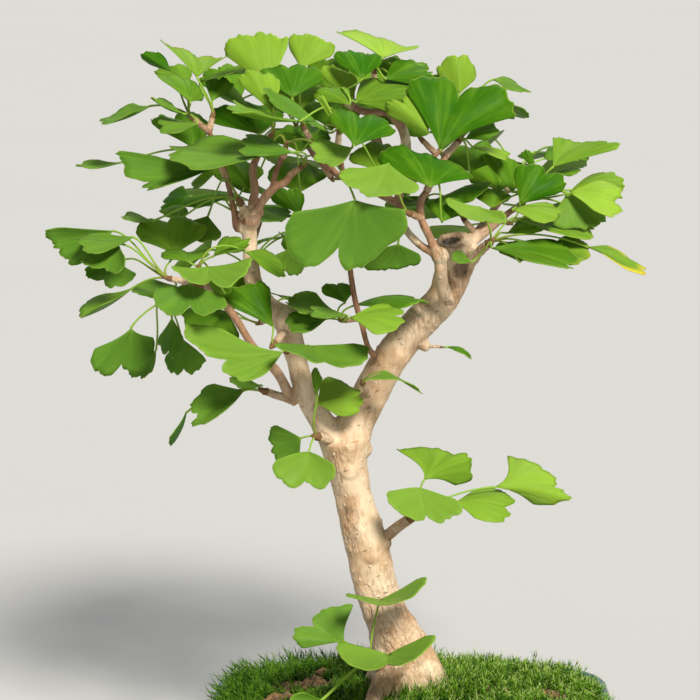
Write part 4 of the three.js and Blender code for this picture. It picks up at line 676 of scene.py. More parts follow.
def leaf_material():
    """Satin blades with faint fanning veins, a pale thin margin that is partly painted highlight, paler
    undersides and stalks; some leaves' tones hold painted light and shade.
    """
    material, n = new_material("ginkgo_leaf")
    across, reach, tone, part, age = n.attributes("leaf_s", "leaf_r", "leaf_tone", "leaf_part", "leaf_age")
    cloud = n.noise(n.position(), 60.0, 2.0)
    # Deep green to lime by the leaf's tone, which for the listed leaves holds painted light and shade.
    green = n.mix(tone, LEAF_DEEP, LEAF_LIME)
    green = n.over(green, n.spread(cloud, 0.35, 0.7), 0.25, LEAF_CLOUD)

    # Veins fork outwards, so their number doubles on the way from the stalk to the margin.
    coarse, fine = [n.math("ABSOLUTE", n.math("SINE", n.times(across, waves)))
                    for waves in (VEIN_WAVES, 2 * VEIN_WAVES)]
    outer = n.spread(reach, 0.35, 0.55)
    veins = n.plus(n.times(fine, outer), n.times(coarse, n.minus(1.0, outer)))
    line = n.spread(veins, 0.0, 0.6, 1.0, 0.0)
    # Streaks run out with the veins, other ones in leaves of another tone.
    fanned = n.add("ShaderNodeCombineXYZ", "Vector", {
        "X": n.times(across, 5.0), "Y": n.times(reach, 0.8), "Z": n.times(tone, 40.0)})
    wedges = n.noise(fanned, 1.0, 4.0, 0.6)
    dark = n.spread(tone, 0.2, 0.9, 0.32, 0.14)
    green = n.over(green, n.times(line, n.spread(wedges, 0.40, 0.62)), 0.08, LEAF_VEIN)
    green = n.over(green, n.spread(wedges, 0.54, 0.36), dark, LEAF_DARK_STREAK)
    green = n.over(green, n.spread(wedges, 0.48, 0.66), 0.16, LEAF_PALE_STREAK)

    green = n.over(green, n.spread(reach, 0.0, 0.25, 1.0, 0.0), 0.25, LEAF_THROAT)
    # A thin pale margin: partly the blade's paler edge, partly a painted highlight along the rim.
    margin = n.spread(n.plus(reach, n.times(cloud, 0.01)), 0.978, 1.0)
    green = n.over(green, margin, 0.35, LEAF_MARGIN_AND_HIGHLIGHT)
    ripe = n.spread(n.plus(reach, n.times(cloud, 0.35)), 0.95, 1.25)
    green = n.over(green, ripe, age, LEAF_YELLOW)

    # A leaf's parts are numbered: 0 its upper side, 1 its underside, 2 its stalk, 3 its bud.
    blade_only = n.spread(part, 1.4, 1.6, 1.0, 0.0)
    underside = n.times(n.spread(part, 0.4, 0.6), blade_only)
    stalk_green = n.mix(n.spread(reach, 0.0, 0.5), STALK_FOOT, STALK_TIP)
    bud_brown = n.mix(n.noise(n.position(), 900.0), BUD_DARK, BUD_PALE)
    colour = n.mix(underside, green, n.mix(0.45, green, LEAF_UNDER))
    colour = n.mix(n.spread(part, 1.5, 1.9), colour, stalk_green)
    colour = n.mix(n.spread(part, 2.5, 2.9), colour, bud_brown)
    relief = n.plus(n.times(veins, blade_only), n.times(n.noise(n.position(), 700.0), 0.6))
    n.shade({
        "Base Color": colour, "Normal": n.bump(relief, 0.00008, 0.10),
        "Roughness": n.spread(cloud, 0.3, 0.7, 0.40, 0.56), "Specular IOR Level": 0.05,
        "Subsurface Weight": 0.3, "Subsurface Radius": (0.8, 1.0, 0.08), "Subsurface Scale": 0.0012})
    return material


def bark_material():
    """Smooth pale bark: warm clouds, raised pale dots, short dark cracks, redder young shoots; painted shade
    in its furrows, on its thin shoots and in some darker patches.
    """
    material, n = new_material("ginkgo_bark")
    place = n.position()
    girth, stain, bleach, knotty = n.attributes("girth", "stain", "bleach", "knotty")
    clouds = n.noise(place, 45.0, 4.0, 0.6)
    smears = n.noise(n.stretch(place, 1.0, 1.0, 0.45), 120.0, 4.0, 0.6, 0.4)
    grain = n.noise(n.stretch(place, 1.0, 1.0, 0.30), 420.0, 5.0, 0.65, 0.5)
    colour = n.mix(n.spread(clouds, 0.34, 0.62), BARK_TAN, BARK_PALE)
    colour = n.over(colour, n.spread(smears, 0.48, 0.66), 0.6, BARK_SMEAR)
    colour = n.over(colour, n.spread(grain, 0.52, 0.70), 0.45, BARK_GRAIN)
    colour = n.over(colour, n.spread(grain, 0.46, 0.30), 0.35, BARK_LIGHT)

    # Knotty places have wandering grooves between low ridges; the furrows and grooves are coloured darker as
    # painted shade in the creases.
    worms = n.noise(n.stretch(place, 1.0, 1.0, 0.35), 330.0, 3.0, 0.5, 1.6)
    groove = n.spread(n.math("ABSOLUTE", n.minus(worms, 0.5)), 0.0, 0.035, 1.0, 0.0)
    groove = n.times(groove, n.times(knotty, 0.5))
    ridges = n.add("ShaderNodeTexWave", "Fac", {
        "Vector": n.stretch(place, 1.0, 0.7, 0.42), "Scale": 175.0, "Distortion": 9.0, "Detail": 3.0,
        "Detail Scale": 0.9, "Detail Roughness": 0.6}, bands_direction="DIAGONAL")
    ridged = n.times(n.spread(ridges, 0.10, 0.75), knotty)
    colour = n.over(colour, n.minus(knotty, ridged), 0.28, BARK_FURROW_SHADE)
    colour = n.over(colour, groove, 0.75, BARK_GROOVE_SHADE)

    dot = n.spots(place, 230.0, 0.10, 0.26, 0.45)
    colour = n.over(colour, dot, 0.70, BARK_DOT)
    slanted = n.add("ShaderNodeMapping", "Vector", {"Vector": place, "Rotation": (0.0, CRACK_SLANT, 0.0)})
    crack = n.spots(n.stretch(slanted, 1.0, 1.0, 4.0), 135.0, 0.10, 0.20, 0.76)
    colour = n.over(colour, crack, 0.65, BARK_CRACK)

    # Redder young shoots, made darker as painted shade: the thin twigs lie in shade under the crown.
    young = n.mix(n.spread(grain, 0.35, 0.65), YOUNG_SHADED_PALE, YOUNG_SHADED_DARK)
    stain_and_shade_colour = n.mix(n.spread(grain, 0.38, 0.64), STAIN_AND_SHADE_PALE, STAIN_AND_SHADE_DARK)
    cream = n.mix(n.spread(grain, 0.40, 0.66), CREAM, CREAM_GRAIN)
    colour = n.mix(n.spread(girth, 1.2, 4.2), young, colour)
    # Stains and scar rings take a darker brown, and so does painted shade where the listed patches stand for
    # it.
    colour = n.mix(stain, colour, stain_and_shade_colour)
    # Near black where the value is highest: the sunk bowl of the sawn top.
    colour = n.mix(n.spread(stain, 0.90, 1.0), colour, HOLLOW_BLACK)
    colour = n.mix(bleach, colour, cream)

    height = n.times(smears, 0.5)
    for layer, weight in ((grain, 0.30), (groove, -0.35), (ridged, 0.55), (dot, 0.50), (crack, -0.35)):
        height = n.plus(height, n.times(layer, weight))
    n.shade({"Base Color": colour, "Normal": n.bump(height, 0.0010, 0.9),
             "Roughness": n.spread(grain, 0.35, 0.65, 0.52, 0.72)})
    return material


def moss_material():
    """Bright moss: near-black painted shade on the mat and low on the shoots, fresh green leaves, and pale
    tips that are partly painted highlight.
    """
    material, n = new_material("moss_green")
    tip, tone, bare = n.attributes("tip", "tone", "bare")
    patches = n.noise(n.position(), 55.0, 3.0)
    # Painted shade: the mat and the shoots' lower leaves go near black, so the gaps between the shoots read
    # as shaded.
    deep = n.mix(patches, MOSS_PAINTED_SHADE, MOSS_PAINTED_SHADE_PALE)
    lively = n.mix(tone, MOSS_DARK, MOSS_LIVELY)
    lively = n.over(lively, n.spread(patches, 0.48, 0.78), 0.5, MOSS_PATCH)
    colour = n.mix(n.spread(tip, 0.15, 0.80), deep, lively)
    # Pale tips on the livelier shoots: partly fresh growth, partly a painted highlight.
    fresh = n.times(n.spread(tip, 0.70, 1.0), n.spread(tone, 0.45, 0.85))
    colour = n.over(colour, fresh, 0.9, MOSS_TIP_AND_HIGHLIGHT)
    colour = n.mix(bare, colour, n.mix(n.noise(n.position(), 420.0), DIRT_DARK, DIRT_PALE))
    n.shade({"Base Color": colour, "Normal": n.bump(n.noise(n.position(), 900.0, 4.0), 0.0010, 0.7),
             "Roughness": n.spread(patches, 0.3, 0.7, 0.38, 0.55), "Specular IOR Level": 0.2})
    return material


def soil_material():
    """Fired clay grains: warm brown, each a little different, dusty on top."""
    material, n = new_material("akadama")
    tone, = n.attributes("tone")
    colour = n.mix(tone, GRAIN_DARK, GRAIN_PALE)
    colour = n.over(colour, n.noise(n.position(), 650.0, 5.0, 0.65), 0.25, GRAIN_DUST)
    n.shade({"Base Color": colour, "Roughness": 0.62,
             "Normal": n.bump(n.noise(n.position(), 1500.0, 5.0, 0.7), 0.0006, 0.9)})
    return material


def glaze_material():
    """Blue-green glaze, thin and paler on edges, with a fine mottle; bare clay inside and below."""
    material, n = new_material("pot_glaze")
    place = n.position()
    edge, bare = n.attributes("edge", "bare")
    mottle = n.noise(n.stretch(place, 1.0, 1.0, 0.35), 85.0, 6.0, 0.62, 0.8)
    fleck = n.noise(place, 900.0, 3.0, 0.6)
    glaze = n.mix(n.spread(mottle, 0.32, 0.68), GLAZE_POOLED, GLAZE_THIN)
    glaze = n.over(glaze, n.spread(fleck, 0.60, 0.74), 0.5, GLAZE_FLECK)
    glaze = n.over(glaze, edge, 0.55, GLAZE_EDGE)
    clay = n.mix(n.noise(place, 600.0, 4.0), CLAY_DARK, CLAY_PALE)
    relief = n.plus(mottle, n.times(n.noise(place, 1200.0), n.times(bare, 0.8)))
    n.shade({"Base Color": n.mix(bare, glaze, clay), "Normal": n.bump(relief, 0.0005, 0.35),
             "Roughness": n.plus(n.spread(mottle, 0.3, 0.7, 0.14, 0.26), n.times(bare, 0.6)),
             "Coat Weight": 0.4, "Coat Roughness": 0.08})
    return material


def mesh_material():
    material, n = new_material("black_mesh")
    n.shade({"Base Color": n.mix(n.noise(n.position(), 800.0), MESH_DARK, MESH_PALE), "Roughness": 0.55,
             "Normal": n.bump(n.noise(n.position(), 2500.0), 0.0002, 0.5)})
    return material


def floor_material():
    material, n = new_material("pale_floor")
    n.shade({"Base Color": n.mix(n.noise(n.position(), 1.2, 2.0), FLOOR_DARK, FLOOR_PALE), "Roughness": 0.9})
    return material


# ---------------------------------------------------------------- leaves

# A fan is the base of a blade, the arms to its first corner, middle and second corner, and its cleft.

# A setting of a leaf is the CAD's own when enough corners of its edge lie this close, in mm.
CORNER_MATCH = 0.09
ENOUGH_CORNERS = 5
RING_MATCH = 0.05

BLADE_COLUMNS = 47
BLADE_ROWS = 11
CORNER_FROM = 0.80
STALK_SIDES = 7
BUD_SIDES = 10
# The one shoot on the right limb that is smaller than the CAD has it: its bud and its spur.
SMALL_SHOOT = "limb_right"
SMALL_BUD = 0.45
SMALL_SPUR = 0.5


def spur_ends(name):
    """Where a short shoot starts and ends, its direction and its radius."""
    row = SPURS[name]
    start = seen(*row[0:3])
    tip = seen(*row[3:6])
    return start, tip, unit(tip - start), row[6] * STEP / 2


def placed_fan(row, slide):
    """The fan of a row of LEAVES, slid along its depth."""
    _, across, down, depth, ax, ay, mx, my, cx, cy, reach, lean, twist, cleft = row
    base = seen(across, down, depth + slide)

    def arm(x, y, way):
        flat = np.linalg.norm(seen(x, y, depth + slide) - base)
        away = way * math.sqrt(max(reach * reach - flat * flat, 0))
        return seen(x, y, depth + slide + away) - base

    return base, arm(ax, ay, lean + twist), arm(mx, my, lean), arm(cx, cy, lean - twist), cleft


def spread_fan(shoot, count, serial, turn):
    """The fan of one of the leaves that spread round a rear shoot, as the CAD has it."""
    _, tip, along, _ = spur_ends(shoot)
    round_ = count * 2.4 + scatter(serial, 1) * 0.8 + turn
    rise = 0.1 + 0.7 * scatter(serial, 2)
    out = unit([math.cos(round_), math.sin(round_), math.tan(rise)])
    out = unit(out + along * 0.7)
    base = tip + out * (17 + 15 * scatter(serial, 3))
    reach = 17 + 8 * scatter(serial, 4)
    middle = unit([out[0], out[1], 0])
    middle[2] = -0.15 - 0.5 * scatter(serial, 5)
    middle = unit(middle)
    across = unit(np.cross(middle, (0, 0, 1)))
    across = turned(across, middle, (scatter(serial, 6) - 0.5) * 1.1)
    half = 1.0 + 0.25 * scatter(serial, 7)

    def arm(way):
        return (middle * math.cos(half) + across * way * math.sin(half)) * reach

    return base, arm(-1), middle * reach, arm(1), 0.08 + 0.24 * scatter(serial, 8)


def fan_ways(fan, s):
    """The ways from the base to the outer edge of the plain fan, at each s from -1 to 1."""
    _, first, middle, second, _ = fan
    bend = ((1 - np.cos(FAN_HALF_ANGLE * s)) / (1 - math.cos(FAN_HALF_ANGLE)))[..., None]
    swing = (np.sin(FAN_HALF_ANGLE * s) / math.sin(FAN_HALF_ANGLE))[..., None]
    return middle * (1 - bend) + first * (bend - swing) / 2 + second * (bend + swing) / 2


def edge_share(fan, s, serial):
    """How far out the edge lies at each s, as the CAD has it."""
    cut = fan[4] * np.maximum(0, 1 - np.abs(s) / 0.15)
    wave = 0.025 * np.sin(9 * s + serial) + 0.015 * np.sin(17 * s + 2 * serial)
    return 1 - cut - 0.1 * np.abs(s) ** 6 + wave


def facing_of(fan):
    return unit(np.cross(fan[3], fan[1]))


def cad_edge(fan, serial):
    """The upper corners of the CAD blade's outer edge."""
    ways = fan_ways(fan, EDGE_STEPS)
    reach = np.linalg.norm(ways, axis=1, keepdims=True)
    facing = facing_of(fan)
    ripple = reach * 0.05 * np.sin(4.4 * EDGE_STEPS + 1.7 * serial)[:, None]
    edge = ways * edge_share(fan, EDGE_STEPS, serial)[:, None] + facing * ripple + fan[0]
    after = np.vstack([edge[1:], edge[-1:]])
    before = np.vstack([edge[:1], edge[:-1]])
    normals = unit(np.cross(after - before, edge - fan[0]))
    normals *= np.where(normals @ facing < 0, -1, 1)[:, None]
    return edge + normals * BLADE_THICK / 2


def stalk_handles(shoot, fan, bow):
    """The handles of a stalk's curve, as the CAD has them."""
    _, tip, along, _ = spur_ends(shoot)
    start = tip + along * (GAP + BUD_LENGTH * 0.45)
    span = fan[0] - start
    length = np.linalg.norm(span)
    leave = unit(along * (1 + 0.4 * bow) + span / length)
    arrive = unit(unit(fan[2]) * 0.5 + span / length)
    lift = np.array([0, -0.05, 0.07]) * length * (1 + 2 * bow)
    return np.array([start, start + leave * length * 0.33 + lift,
                     fan[0] - arrive * length * 0.3 + lift, fan[0]])


def bezier(handles, t):
    t = np.asarray(t, dtype=float)[:, None]
    a, b, c, d = handles
    return a * (1 - t) ** 3 + 3 * b * t * (1 - t) ** 2 + 3 * c * t * t * (1 - t) + d * t ** 3


def find_setting(shoot, options, serial, corners, tree):
    """Which of a leaf's possible settings the CAD holds: its fan and the bow of its stalk."""
    hits = [sum(tree.find(p)[2] < CORNER_MATCH for p in cad_edge(fan, serial)) for fan in options]
    if max(hits) < ENOUGH_CORNERS:
        return None
    best = options[hits.index(max(hits))]

    def ring_hits(bow):
        middle = bezier(stalk_handles(shoot, best, bow), STALK_STEPS)[1]
        away = np.linalg.norm(corners - middle, axis=1)
        return int(np.sum(np.abs(away - STALK_RADIUS) < RING_MATCH))

    return best, max(BOWS, key=lambda bow: (ring_hits(bow), -BOWS.index(bow)))


def blade_share(fan, s, r, serial, corners):
    """How far out each point of a blade lies: the CAD's edge with a nick, teeth and round corners."""
    nick_at = 0.62 * (2 * scatter(serial, 21) - 1)
    nick = 0.06 * scatter(serial, 22) * np.maximum(0, 1 - np.abs(s - nick_at) / 0.055)
    teeth = (0.020 * np.sin(8.5 * s + 2 * serial) * np.sin(3.1 * s + serial)
             + 0.018 * np.sin(21 * s + 3 * serial) * np.sin(6 * s + serial)
             + 0.014 * np.sin(41 * s + 5 * serial) * np.sin(5 * s + 2 * serial) - 0.010)
    rounding = np.where(s < 0, *corners)
    shoulder = rounding * (np.maximum(0, np.abs(s) - CORNER_FROM) / (1 - CORNER_FROM)) ** 2.4
    lobes = 0.20 * fan[4] * np.exp(-((np.abs(s) - 0.14) / 0.07) ** 2) * (fan[4] > 0.12)
    return (edge_share(fan, s, serial) - nick + teeth * r ** 3 - shoulder - lobes) * r


def blade_lift(reach, s, r, serial):
    """How far each point of a blade lies above its plain fan: waved, frilled, cupped and folded."""
    ripple = reach * 0.05 * np.sin(4.4 * s + 1.7 * serial) * r ** 1.2
    frill = reach * (0.008 * np.sin(10 * s + 2.3 * serial) + 0.002 * np.sin(27 * s + serial)) * r ** 3
    cup = reach * (0.03 + 0.05 * scatter(serial, 23)) * np.sin(np.pi * r) * (1 - 0.4 * np.abs(s))
    fold = -reach * 0.05 * (np.abs(s) ** 1.5 - 0.4) * r * (1 - r) * 2
    return ripple + frill * min(1.0, float(reach.max()) / 20) + cup + fold


def blade_faces():
    """Faces of a closed sheet: an upper grid of points, a lower one and the strip between them."""
    top = np.arange(BLADE_ROWS * BLADE_COLUMNS).reshape(BLADE_ROWS, BLADE_COLUMNS)
    low = top + top.size
    a, b, c, d = top[:-1, :-1], top[:-1, 1:], top[1:, 1:], top[1:, :-1]
    quads = [(a, d, c, b), (a + top.size, b + top.size, c + top.size, d + top.size),
             (top[-1, :-1], low[-1, :-1], low[-1, 1:], top[-1, 1:]),
             (top[0, :-1], top[0, 1:], low[0, 1:], low[0, :-1]),
             (top[:-1, 0], low[:-1, 0], low[1:, 0], top[1:, 0]),
             (top[:-1, -1], top[1:, -1], low[1:, -1], low[:-1, -1])]
    return np.vstack([np.stack([side.ravel() for side in quad], axis=1) for quad in quads]).tolist()


def blade(shape, fan, serial, tone, age):
    """A thin fan blade: waved, cleft, softly toothed and gently cupped, closed all round."""
    s, r = np.meshgrid(np.linspace(-1, 1, BLADE_COLUMNS), np.linspace(0.02, 1, BLADE_ROWS))
    facing = facing_of(fan)
    usual = 0.20 * scatter(serial, 24) - 0.09
    side_1, side_2, *corners = BLADE_FORMS.get(serial, (usual, usual, 0.15, 0.15))
    flare = np.where(s < 0, side_1, side_2)
    ways = fan_ways(fan, s * (1 - flare * (1 - r) ** 1.6))
    lift = blade_lift(np.linalg.norm(ways, axis=2), s, r, serial)
    share = blade_share(fan, s, r, serial, corners)
    middle = fan[0] + ways * share[..., None] + facing * lift[..., None]
    normals = unit(np.cross(np.gradient(middle, axis=1), np.gradient(middle, axis=0)))
    normals *= np.where((normals @ facing)[..., None] < 0, -1, 1)
    half = (0.20 + 0.16 * (1 - r) ** 2)[..., None]
    points = np.stack([middle + normals * half, middle - normals * half]).reshape(-1, 3)
    shape.add(points, BLADE_FACES, leaf_s=np.tile(s.ravel(), 2), leaf_r=np.tile(r.ravel(), 2),
              leaf_tone=tone, leaf_age=age, leaf_part=np.repeat([0.0, 1.0], s.size))


BLADE_FACES = blade_faces()


def stalk(shape, shoot, fan, bow, tone, stout):
    """A round stalk, stouter at its foot, that runs a little way into its blade."""
    line = bezier(stalk_handles(shoot, fan, bow), np.linspace(0, 1, 15))
    line = np.vstack([line, fan[0] + unit(fan[2]) * 1.6])
    t = np.linspace(0, 1, len(line))
    radii = stout * (0.48 + 0.30 * (1 - t) ** 6 + 0.12 * smoothstep(0.75, 0.95, t))
    radii[-1] = 0.2
    points, faces = tube(line, radii, STALK_SIDES)
    reach = np.append(np.repeat(t, STALK_SIDES), [0, 1])
    shape.add(points, faces, leaf_s=0, leaf_r=reach, leaf_tone=tone, leaf_age=0, leaf_part=2)


def bud(shape, shoot):
    """Brown scales round the tip of a short shoot."""
    _, tip, along, radius = spur_ends(shoot)
    size = SMALL_BUD if shoot == SMALL_SHOOT else 1.0
    radius *= size
    t = np.linspace(0, 1, 9)[:, None]
    line = tip + along * (GAP * 0.3 + (BUD_LENGTH + radius * 0.4) * size * t)
    scales = 1 + 0.12 * np.cos(5 * round_angles(BUD_SIDES) + 9 * t)
    points, faces = tube(line, radius * (1.0 - 0.62 * t ** 1.5) * scales, BUD_SIDES, dome=0.6)
    shape.add(points, faces, leaf_s=0, leaf_r=1, leaf_tone=0.5, leaf_age=0, leaf_part=3)


def make_leaves(material):
    """One piece for each short shoot's cluster, with its leaves as the CAD has set them."""
    wanted = [(row[0], row, None) for row in LEAVES]
    wanted += [(shoot, None, count) for shoot, number in REAR_SHOOTS for count in range(number)]
    lost = []
    for shoot in SPURS:
        node = "leaves_" + shoot
        corners = from_world(read_points(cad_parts[node].data))
        tree = tree_of(corners)
        shape = Shape()
        bud(shape, shoot)
        for serial, (carrier, row, count) in enumerate(wanted):
            if carrier != shoot:
                continue
            if row:
                options = [placed_fan(row, slide) for slide in SLIDES]
            else:
                options = [spread_fan(shoot, count, serial, turn) for turn in TURNS]
            found = find_setting(shoot, options, serial, corners, tree)
            if found is None:
                lost.append(serial)
                continue
            fan, bow = found
            # Listed leaves take a tone with painted light and shade in it; the rest differ at random.
            tone = TONES_WITH_PAINTED_LIGHT.get(serial, 0.05 + 0.40 * scatter(serial, 31))
            blade(shape, fan, serial, tone, YELLOWING.get(serial, 0.0))
            stalk(shape, shoot, fan, bow, tone, STOUT.get(serial, 1.0))
        name = "foliage_" + shoot
        add_piece(name, shape.mesh(name), material, "leaf", node)
    print("leaves not in the CAD:", lost)


# ---------------------------------------------------------------- wood

VOXEL = 0.000765
LIMB_SPACING = 2.2
SCARS = 70
SCAR_SEED = 11
THICK = 5
SPUR_SIDES = 14
STUMP_TOP = (455, 238, 6)
HOLLOW_OFFSET = [3.0, -0.5, 0.0]
HOLLOW_RADIUS = 7.5
HOLLOW_DEPTH = 6.0
SUNK_DEPTH = 1.7

# Places on the front of the wood: across, down, their half-widths and their strength.
# Of the stains, these are painted shade: the dark hollow by the right shoot (461, 271), the shaded right limb
# (415, 325) and (385, 375), and the root in shade (368, 692).
STAINS_AND_PAINTED_SHADE = [(461, 271, 10, 9, 0.9), (388, 667, 17, 7, 0.35), (326, 439, 6, 6, 0.45),
          (346, 511, 8, 3, 0.35), (449, 303, 5, 3, 0.6), (368, 692, 8, 14, 0.40),
          (415, 325, 24, 30, 0.32), (385, 375, 18, 25, 0.28), (452, 278, 14, 14, 0.30),
          (392, 676, 12, 4, 0.35)]
BLEACHED = [(469, 247, 9, 7, 0.5), (440, 262, 5, 4, 0.5), (428, 668, 12, 8, 0.6),
            (399, 664, 6, 4, 0.6), (408, 139, 8, 13, 1.0), (397, 145, 7, 8, 1.0),
            (413, 236, 12, 9, 0.75), (445, 256, 5, 7, 0.5)]
KNOTTY = [(388, 667, 18, 8, 1.0), (335, 475, 8, 30, 0.6), (350, 530, 10, 30, 0.8),
          (345, 455, 9, 8, 0.6), (455, 300, 14, 12, 0.8), (470, 265, 12, 12, 0.7),
          (372, 688, 16, 16, 1.0), (395, 625, 20, 30, 0.9), (420, 315, 20, 22, 0.5),
          (440, 256, 9, 9, 1.0), (462, 285, 16, 22, 0.9)]
SUNK = [(461, 272, 9, 8, 1.0)]


def limb_shape(shape, name, guide):
    """One limb with faint flutes and swellings. Its line and radii join the guide."""
    rows = LIMBS[name]
    line, radii = smooth_line([seen(*row[:3]) for row in rows],
                              [row[3] * STEP / 2 for row in rows], LIMB_SPACING)
    sides = 40 if radii.max() > 8 else 24 if radii.max() > 5 else 14
    steps = np.linalg.norm(np.diff(line, axis=0), axis=1)
    reach = np.concatenate([[0], np.cumsum(steps)])[:, None]
    angles = round_angles(sides)
    seed = sum(ord(c) for c in name) * 0.37
    flutes = (0.030 * np.sin(3 * angles + seed + reach * 0.03)
              + 0.015 * np.sin(5 * angles - seed + reach * 0.05)
              + 0.020 * np.sin(2 * angles + reach * 0.17 + seed))
    swell = 0.012 * np.sin(reach * 0.55 + seed) + 0.010 * np.sin(reach * 1.3 + 2 * seed)
    shape.add(*tube(line, radii[:, None] * (1 + flutes + swell), sides))
    guide.extend(zip(line, radii))


def knob_shape(shape, row):
    """A ball of wood."""
    centre, radius = seen(*row[:3]), row[3]
    t = np.linspace(0, np.pi, 13)
    line = centre + np.outer(-np.cos(t) * radius, [0, 0, 1])
    shape.add(*tube(line, np.maximum(np.sin(t) * radius, 0.05), 20, dome=0.0))


def raw_wood():
    """The limbs and knobs grown into one mesh, and the limbs' lines and radii."""
    shape, guide = Shape(), []
    for name in LIMBS:
        limb_shape(shape, name, guide)
    for row in KNOBS:
        knob_shape(shape, row)
    separate = shape.mesh("wood")
    temp = new_object("temp", separate)
    remesh = temp.modifiers.new("remesh", "REMESH")
    remesh.mode = "VOXEL"
    remesh.voxel_size = VOXEL
    mesh = evaluated_mesh(temp)
    bpy.data.objects.remove(temp)
    bpy.data.meshes.remove(separate)
    return mesh, guide


def read_points(mesh, normals=False):
    """The places of a mesh's vertices, or their normals."""
    out = np.empty(len(mesh.vertices) * 3)
    if normals:
        mesh.vertex_normals.foreach_get("vector", out)
    else:
        mesh.vertices.foreach_get("co", out)
    return out.reshape(-1, 3)


def girth_of(points, guide):
    """Each point's girth: that of the thickest limb it lies on, or of the nearest one."""
    spine, radii = zip(*guide)
    tree = tree_of(spine)
    girth = np.empty(len(points))
    for k, p in enumerate(points):
        near = [(radii[j], far) for _, j, far in tree.find_n(p, 14)]
        girth[k] = max((r for r, far in near if far < 1.25 * r + 0.5), default=near[0][0])
    return girth


def bark_relief(points, girth, knotty):
    """How far the bark stands out at each point: lumps, grain, and wrinkles in knotty places."""
    relief = np.empty(len(points))
    for k, p in enumerate(points):
        wide = noise.fractal(Vector(p * 0.11), 1.0, 2.0, 3)
        fine = noise.fractal(Vector(p * (0.5, 0.5, 0.25)), 1.0, 2.0, 3)
        wrinkle = noise.noise(Vector(p * (0.55, 0.55, 0.20)) + Vector((wide, wide, 0)))
        relief[k] = 0.24 * wide + 0.09 * fine - 0.50 * knotty[k] * (1 - min(abs(wrinkle) * 4, 1)) - 0.16
    return relief * np.clip(girth / 9, 0.28, 1.05)


def add_scars(points, girth, relief, stain):
    """Small healed scars and dormant buds on the trunk and the big limbs."""
    chance = random.Random(SCAR_SEED)
    tree = tree_of(points)
    thick = np.flatnonzero(girth > THICK)
    for _ in range(SCARS):
        centre = int(chance.choice(thick))
        size = chance.uniform(0.7, 1.7)
        for _, k, far in tree.find_range(points[centre], size * 1.8):
            relief[k] += 0.34 * size * math.exp(-(far / (size * 0.7)) ** 2)
            ring = math.exp(-((far - size) / (size * 0.3)) ** 2)
            stain[k] = max(stain[k], 0.30 * ring)


def sawn_top(points, stain):
    """Stains and lifts of the sawn top: it tilts, its rim is ragged, its cut face is less dark towards the
    right, and its middle is a sunk bowl coloured near black.
    """
    stump = seen(*STUMP_TOP)
    level = points[:, 2] - stump[2]
    flat = np.linalg.norm((points - stump)[:, :2], axis=1)
    ragged = np.array([noise.noise(Vector((p[0] * 0.9, p[1] * 0.9, 3))) for p in points])
    cut = smoothstep(-2.4, 0.6, level + 1.2 * ragged) * smoothstep(17, 13, flat)
    hollow = np.linalg.norm((points - stump + HOLLOW_OFFSET)[:, :2], axis=1)
    bowl = np.maximum(0, 1 - (hollow / HOLLOW_RADIUS) ** 2) * smoothstep(-1.0, 0.5, level) * (flat < 8.5)
    towards_right = smoothstep(1.5, 6.0, points[:, 0] - stump[0])
    stain = np.maximum(stain, cut * (0.80 - 0.50 * towards_right))
    stain = np.maximum(stain, smoothstep(0.05, 0.45, bowl))
    tilt = np.clip((points[:, 1] - stump[1]) / 9.0, -1.2, 1.2)
    tilt *= smoothstep(-7, 0, level) * smoothstep(17, 11, flat)
    return stain, 2.6 * tilt - bowl * HOLLOW_DEPTH + 1.1 * ragged * cut * (1 - bowl)


def make_wood(material):
    """The whole wood as one skin, with the values that its bark material reads."""
    mesh, guide = raw_wood()
    points = from_world(read_points(mesh))
    normals = read_points(mesh, normals=True)
    girth = girth_of(points, guide)

    # Stained, bleached and knotty places, each set by where it is seen from the front.
    across, down = sighted(points)
    front = smoothstep(-0.1, 0.35, -normals[:, 1])
    stain = spotted(STAINS_AND_PAINTED_SHADE, across, down) * front
    bleach = spotted(BLEACHED, across, down)
    sunk = spotted(SUNK, across, down) * front
    wander = np.array([noise.fractal(Vector(p * 0.05), 1.0, 2.0, 2) for p in points])
    knotty = np.clip(smoothstep(175, 85, points[:, 2]) * 0.8 + 0.7 * wander, 0, 1)
    knotty = np.maximum(knotty * smoothstep(5, 8, girth), spotted(KNOTTY, across, down) * front)

    relief = bark_relief(points, girth, knotty)
    add_scars(points, girth, relief, stain)
    stain, lift = sawn_top(points, stain)
    points = points + normals * (relief - SUNK_DEPTH * sunk)[:, None]
    points[:, 2] += lift
    mesh.vertices.foreach_set("co", to_world(points).ravel())
    mesh.materials.clear()
    finished(mesh, {"girth": girth, "stain": stain, "bleach": bleach, "knotty": knotty})
    return add_piece("bonsai_wood", mesh, material, "bark", "tree_wood")


def make_spurs(material):
    """Ringed short shoots, each from inside its limb to just under its bud."""
    shape = Shape()
    for serial, name in enumerate(SPURS):
        start, tip, _, radius = spur_ends(name)
        radius *= SMALL_SPUR if name == SMALL_SHOOT else 1.0
        length = np.linalg.norm(tip - start)
        t = np.linspace(0, 1, max(10, int(length / 0.28)))[:, None]
        ring = np.abs(np.sin(np.pi * t * length / 1.15 + serial))
        lumps = 0.06 * np.sin(3 * round_angles(SPUR_SIDES) + 9 * t + serial)
        radii = radius * (1.06 - 0.2 * t + 0.11 * ring + lumps)
        grooves = np.repeat(0.5 * (ring[:, 0] < 0.3), SPUR_SIDES)
        shape.add(*tube(start + (tip - start) * t, radii, SPUR_SIDES), girth=2.6 + 1.4 * scatter(serial, 51),
                  stain=np.append(grooves, [0, 0]), bleach=0, knotty=0.5)
    add_piece("ringed_spurs", shape.mesh("ringed_spurs"), material, "bark")


# ---------------------------------------------------------------- ground and pot

